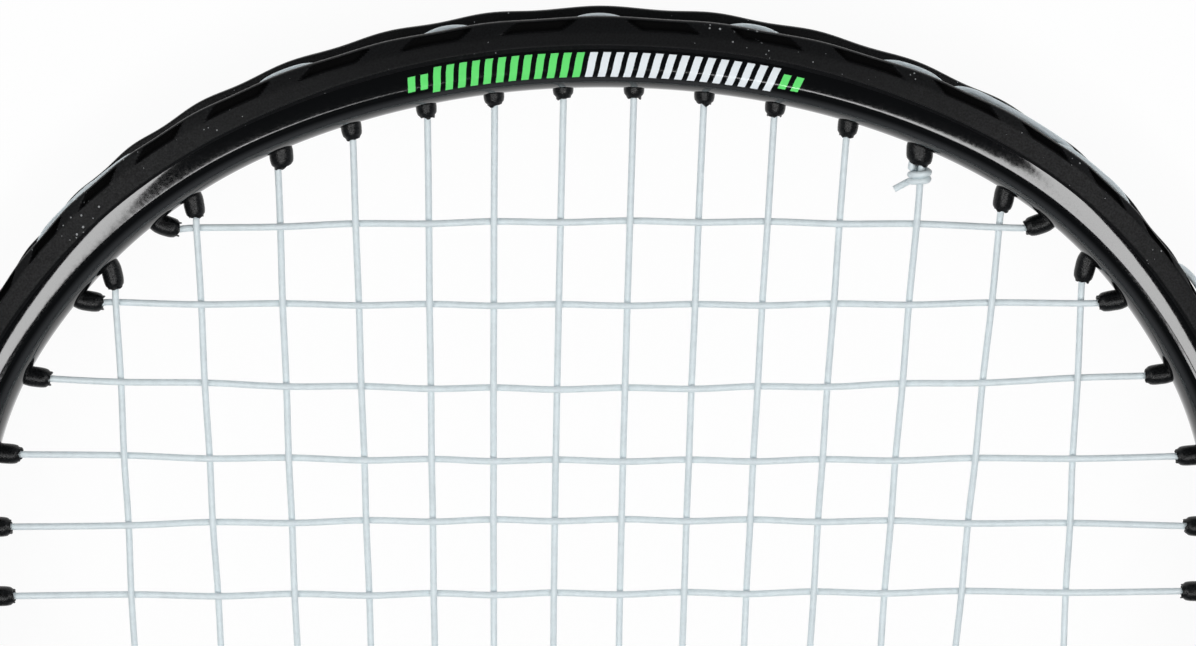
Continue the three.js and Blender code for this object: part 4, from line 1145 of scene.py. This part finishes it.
def grip_points():
    """The wound grip as one skin: round the handle's section and up it, lowered into a groove
    wherever the winding's phase, level over pitch less the turn, is close to a seam. Heights are
    shares of the tape's thickness: the seam's, a quarter circle over it, and a bell-shaped ridge
    beside it. The uv map has metres across the tape and metres along it."""
    levels = np.linspace(grip_start, grip_top, grip_rows)
    base = octagon(fit, core_rounding, grip_columns)
    away = octagon(fit + grip_thickness, grip_rounding, grip_columns)
    turn = np.arange(grip_columns + 1) / grip_columns
    wound = (levels[:, None] - levels[0]) / grip_pitch - turn
    phase = wound % 1
    distance = np.minimum(phase, 1 - phase) * grip_pitch
    edge = np.clip(distance / seam_half, 0, 1)
    crown = np.sqrt(np.clip(1 - (1 - edge) ** 2, 0, 1))
    ridge = ridge_height * np.exp(-((distance - ridge_place) / ridge_width) ** 2)
    height = (seam_height + crown_height * crown + ridge)[:, :-1]
    points = base + (away - base) * height[..., None]
    grid = np.stack([
        points[..., 0], np.broadcast_to(levels[:, None], height.shape),
        points[..., 1] + bed_level], axis=-1)
    ends = octagon_loft(levels[[0, -1]], [0, 0], core_rounding, grip_columns)
    uv = np.stack([phase * grip_pitch, (np.floor(wound) + turn) * grip_girth], axis=-1)
    return np.concatenate([ends[:1], grid, ends[1:]]), np.concatenate([uv[:1], uv, uv[-1:]])


grip_grid, grip_uv = grip_points()

# Polyurethane wrap with a fine leather-like grain and two staggered sets of punched holes: black,
# tacky, a little shiny where it is held most. Inside the holes it is painted near black, as shade.
grip_rubber, tree = new_material("Perforated polyurethane wrap")
place = add(tree, "TexCoord")
tape_place = add(tree, "UVMap", uv_map="along")
hole_step = (3.4 * mm, 3.8 * mm, 1)
half_step = (hole_step[0] / 2, hole_step[1] / 2, 0.5)
hole_floor, hole_rim = 0.35 * mm, 0.6 * mm
distances = []
for shift in ((0, 0, 0), half_step):
    moved = add(tree, "VectorMath", {0: tape_place, 1: shift}, operation="ADD")
    wrapped = add(tree, "VectorMath", {
        0: moved, 1: half_step, 2: tuple(-part for part in half_step)}, operation="WRAP")
    flat = add(tree, "VectorMath", {0: wrapped, 1: (1, 1, 0)}, operation="MULTIPLY")
    distances.append(add(tree, "VectorMath", {0: flat}, operation="LENGTH"))
nearest = add(tree, "Math", {0: distances[0], 1: distances[1]}, operation="MINIMUM")
punched = add(tree, "MapRange", {
    "Value": nearest, "From Min": hole_floor, "From Max": hole_rim,
    "To Min": 0, "To Max": 1})
grain = add(tree, "TexVoronoi", {"Vector": place.outputs["Object"], "Scale": 1 / (0.8 * mm)})
handled = add(tree, "TexNoise", {
    "Vector": place.outputs["Object"], "Scale": 1 / (25 * mm), "Detail": 3})
# Painted shade: the punched holes are coloured near black, the rest of the tape dark grey.
tone = add(tree, "Mix", {0: punched, 6: linear("#050505"), 7: linear("#1b1c1e")}, data_type="RGBA")
shine = add(tree, "MapRange", {
    "Value": handled, "From Min": 0.35, "From Max": 0.65, "To Min": 0.5, "To Max": 0.72})
dents = add(tree, "Bump", {"Height": punched, "Strength": 0.8, "Distance": 0.35 * mm})
surface = add(tree, "Bump", {
    "Height": grain, "Strength": 0.5, "Distance": 0.1 * mm,
    "Normal": dents})
paint = add(tree, "BsdfPrincipled", {
    "Base Color": tone, "Roughness": shine, "IOR": 1.5,
    "Normal": surface})
add(tree, "OutputMaterial", {"Surface": paint})
make_piece(
    "wound_grip", [skin(grip_grid, grip_uv)], grip_rubber, "grip_tape",
    soft_corner)

tape_levels = np.array([-6, -5.95, -5.8, 0.3, 1.1, 2.8, 8.8, 8.95, 9]) * mm + grip_top
tape_growths = np.array([1.9, 2.35, 2.42, 2.42, 1.6, 0.8, 0.75, 0.65, 0.2]) * mm

# Stretched vinyl tape with a fine embossed weave: black, with a low gloss. The weave's threads
# are drawn at 0.6 mm, coarser than the real ones.
tape_vinyl, tree = new_material("Stretched vinyl tape")
place = add(tree, "TexCoord")
weave = add(tree, "TexBrick", {
    "Vector": place.outputs["Object"], "Color1": (1, 1, 1, 1), "Color2": (0.8, 0.8, 0.8, 1),
    "Mortar": (0, 0, 0, 1), "Scale": 1, "Mortar Size": 0.12 * mm, "Mortar Smooth": 1.0,
    "Brick Width": 0.6 * mm, "Row Height": 0.6 * mm})
creases = add(tree, "TexNoise", {
    "Vector": place.outputs["Object"], "Scale": 1 / (3 * mm), "Detail": 3})
shine = add(tree, "MapRange", {
    "Value": creases, "From Min": 0.35, "From Max": 0.65, "To Min": 0.26, "To Max": 0.42})
wrinkles = add(tree, "Bump", {"Height": creases, "Strength": 0.4, "Distance": 0.25 * mm})
surface = add(tree, "Bump", {
    "Height": weave, "Strength": 0.5, "Distance": 0.04 * mm,
    "Normal": wrinkles})
paint = add(tree, "BsdfPrincipled", {
    "Base Color": linear("#111214"), "Roughness": shine, "IOR": 1.53,
    "Normal": surface})
add(tree, "OutputMaterial", {"Surface": paint})
make_piece(
    "grip_end_tape", [skin(octagon_loft(tape_levels, tape_growths))], tape_vinyl,
    "finishing_tape", soft_corner)

collar_levels = np.array([
    -12, -11.9, -11.5, -10.4, -9.9, -9.5, -9.1, -8.2, -0.6, -0.15, 0]) * mm + core_top
collar_growths = np.array([1.0, 2.6, 2.9, 2.9, 2.7, 2.3, 2.2, 2.1, 1.4, 1.2, 0.85]) * mm

# A stretched ring of natural-rubber compound: black, matte, slightly bloomed.
collar_rubber = grained_finish(
    "Stretched collar rubber", (4 * mm, 5, 0.6), (0.3, 0.15 * mm), {"IOR": 1.52},
    ((0.4, "#131415"), (0.8, "#26282a")), (0.45, 0.62))
make_piece(
    "slip_collar", [skin(octagon_loft(collar_levels, collar_growths))], collar_rubber,
    "rubber_collar", soft_corner)

ferrule_shares = np.array([0, 0, 0, 0, 0.02, 0.08, 0.5, 0.95, 1, 1.06])
ferrule_heights = np.array([0.3, 0.5, 3, 3.3, 3.45, 3.9, 6.9, 9.8, 10.2, 10.3]) * mm
ferrule_growth = 0.8 * mm
ferrule_half_width, ferrule_half_height = 11.5 * mm, 8.2 * mm


def ferrule_rings():
    """From the handle's section to a smaller one of the same kind that holds the two tubes: a
    straight mix of the two, shared out by level."""
    foot = octagon(ferrule_growth, core_rounding, core_columns)
    top = octagon(0, core_rounding, core_columns, ferrule_half_width, ferrule_half_height)
    rings = foot + (top - foot) * ferrule_shares[:, None, None]
    levels = np.broadcast_to((core_top + ferrule_heights)[:, None], rings.shape[:2])
    return np.stack([rings[..., 0], levels, rings[..., 1] + bed_level], axis=-1)


make_piece(
    "shaft_ferrule", [skin(ferrule_rings())], bridge_nylon, "handle_ferrule",
    soft_corner)

# Floor, lamps and camera
# A plain white table under soft light, and a camera above the tip of the head, tilted as in the
# photograph.

floor_mesh = bpy.data.meshes.new("floor")
floor_half = 4
floor_white = 0.94
floor_mesh.from_pydata(
    [(-floor_half, -floor_half, 0), (floor_half, -floor_half, 0), (floor_half, floor_half, 0),
     (-floor_half, floor_half, 0)], [],
    [(0, 1, 2, 3)])
floor = bpy.data.objects.new("floor", floor_mesh)
bpy.context.scene.collection.objects.link(floor)
paper, tree = new_material("White paper")
seen = add(tree, "LightPath")
shown = add(tree, "Math", {
    0: seen.outputs["Is Camera Ray"], 1: seen.outputs["Is Glossy Ray"]}, operation="MAXIMUM")
part = add(tree, "Math", {0: shown, 1: floor_white}, operation="MULTIPLY")
bare = add(tree, "BsdfDiffuse", {"Color": linear("#f8f8f8")})
white = add(tree, "Emission", {"Color": linear("#ffffff"), "Strength": 1})
both = add(tree, "MixShader", {0: part, 1: bare, 2: white})
add(tree, "OutputMaterial", {"Surface": both})
floor_mesh.materials.append(paper)

# The room: dark overhead, paler round the horizon, and white where the camera looks past the
# table.
world = bpy.data.worlds.new("studio")
bpy.context.scene.world = world
world.use_nodes = True
tree = world.node_tree
tree.nodes.clear()
way = add(tree, "SeparateXYZ", {"Vector": add(tree, "TexCoord").outputs["Generated"]})
glow = add(tree, "MapRange", {
    "Value": way.outputs["Z"], "From Min": 0.3, "From Max": 0.65, "To Min": 0.48, "To Max": 0.05})
room = add(tree, "Background", {"Color": linear("#f3f8ff"), "Strength": glow})
backdrop = add(tree, "Background", {"Color": linear("#ffffff"), "Strength": 1})
seen = add(tree, "LightPath")
both = add(tree, "MixShader", {0: seen.outputs["Is Camera Ray"], 1: room, 2: backdrop})
add(tree, "OutputWorld", {"Surface": both})

# Two long softboxes hang level beyond the sides of the head and spread from its tip outward.
softbox_height = 1.0
softbox_length = 1.6
softbox_width = 0.18
softbox_turn = math.radians(54.4)
softbox_power = 7.7

for place, side, name in (
        ((-0.56, 0.36), -1, "left_softbox"), ((0.547, 0.392), 1, "right_softbox")):
    lamp = bpy.data.lights.new(name, "AREA")
    lamp.shape = "RECTANGLE"
    lamp.size, lamp.size_y = softbox_length, softbox_width
    lamp.energy = softbox_power
    holder = bpy.data.objects.new(name, lamp)
    holder.location = (*place, bed_level + softbox_height)
    holder.rotation_euler = (0, 0, side * softbox_turn)
    bpy.context.scene.collection.objects.link(holder)

focal_length = 102.3
camera_tilt = 15.2
camera_place = (0.00003, 0.3822, 0.5242)
camera_data = bpy.data.cameras.new("camera")
camera_data.sensor_width = 36
camera_data.lens = focal_length
camera_data.clip_start = 0.01
camera = bpy.data.objects.new("camera", camera_data)
camera.location = camera_place
camera.rotation_euler = (-math.radians(camera_tilt), 0, 0)
bpy.context.scene.collection.objects.link(camera)
bpy.context.scene.camera = camera
bpy.context.scene.view_settings.view_transform = "Standard"
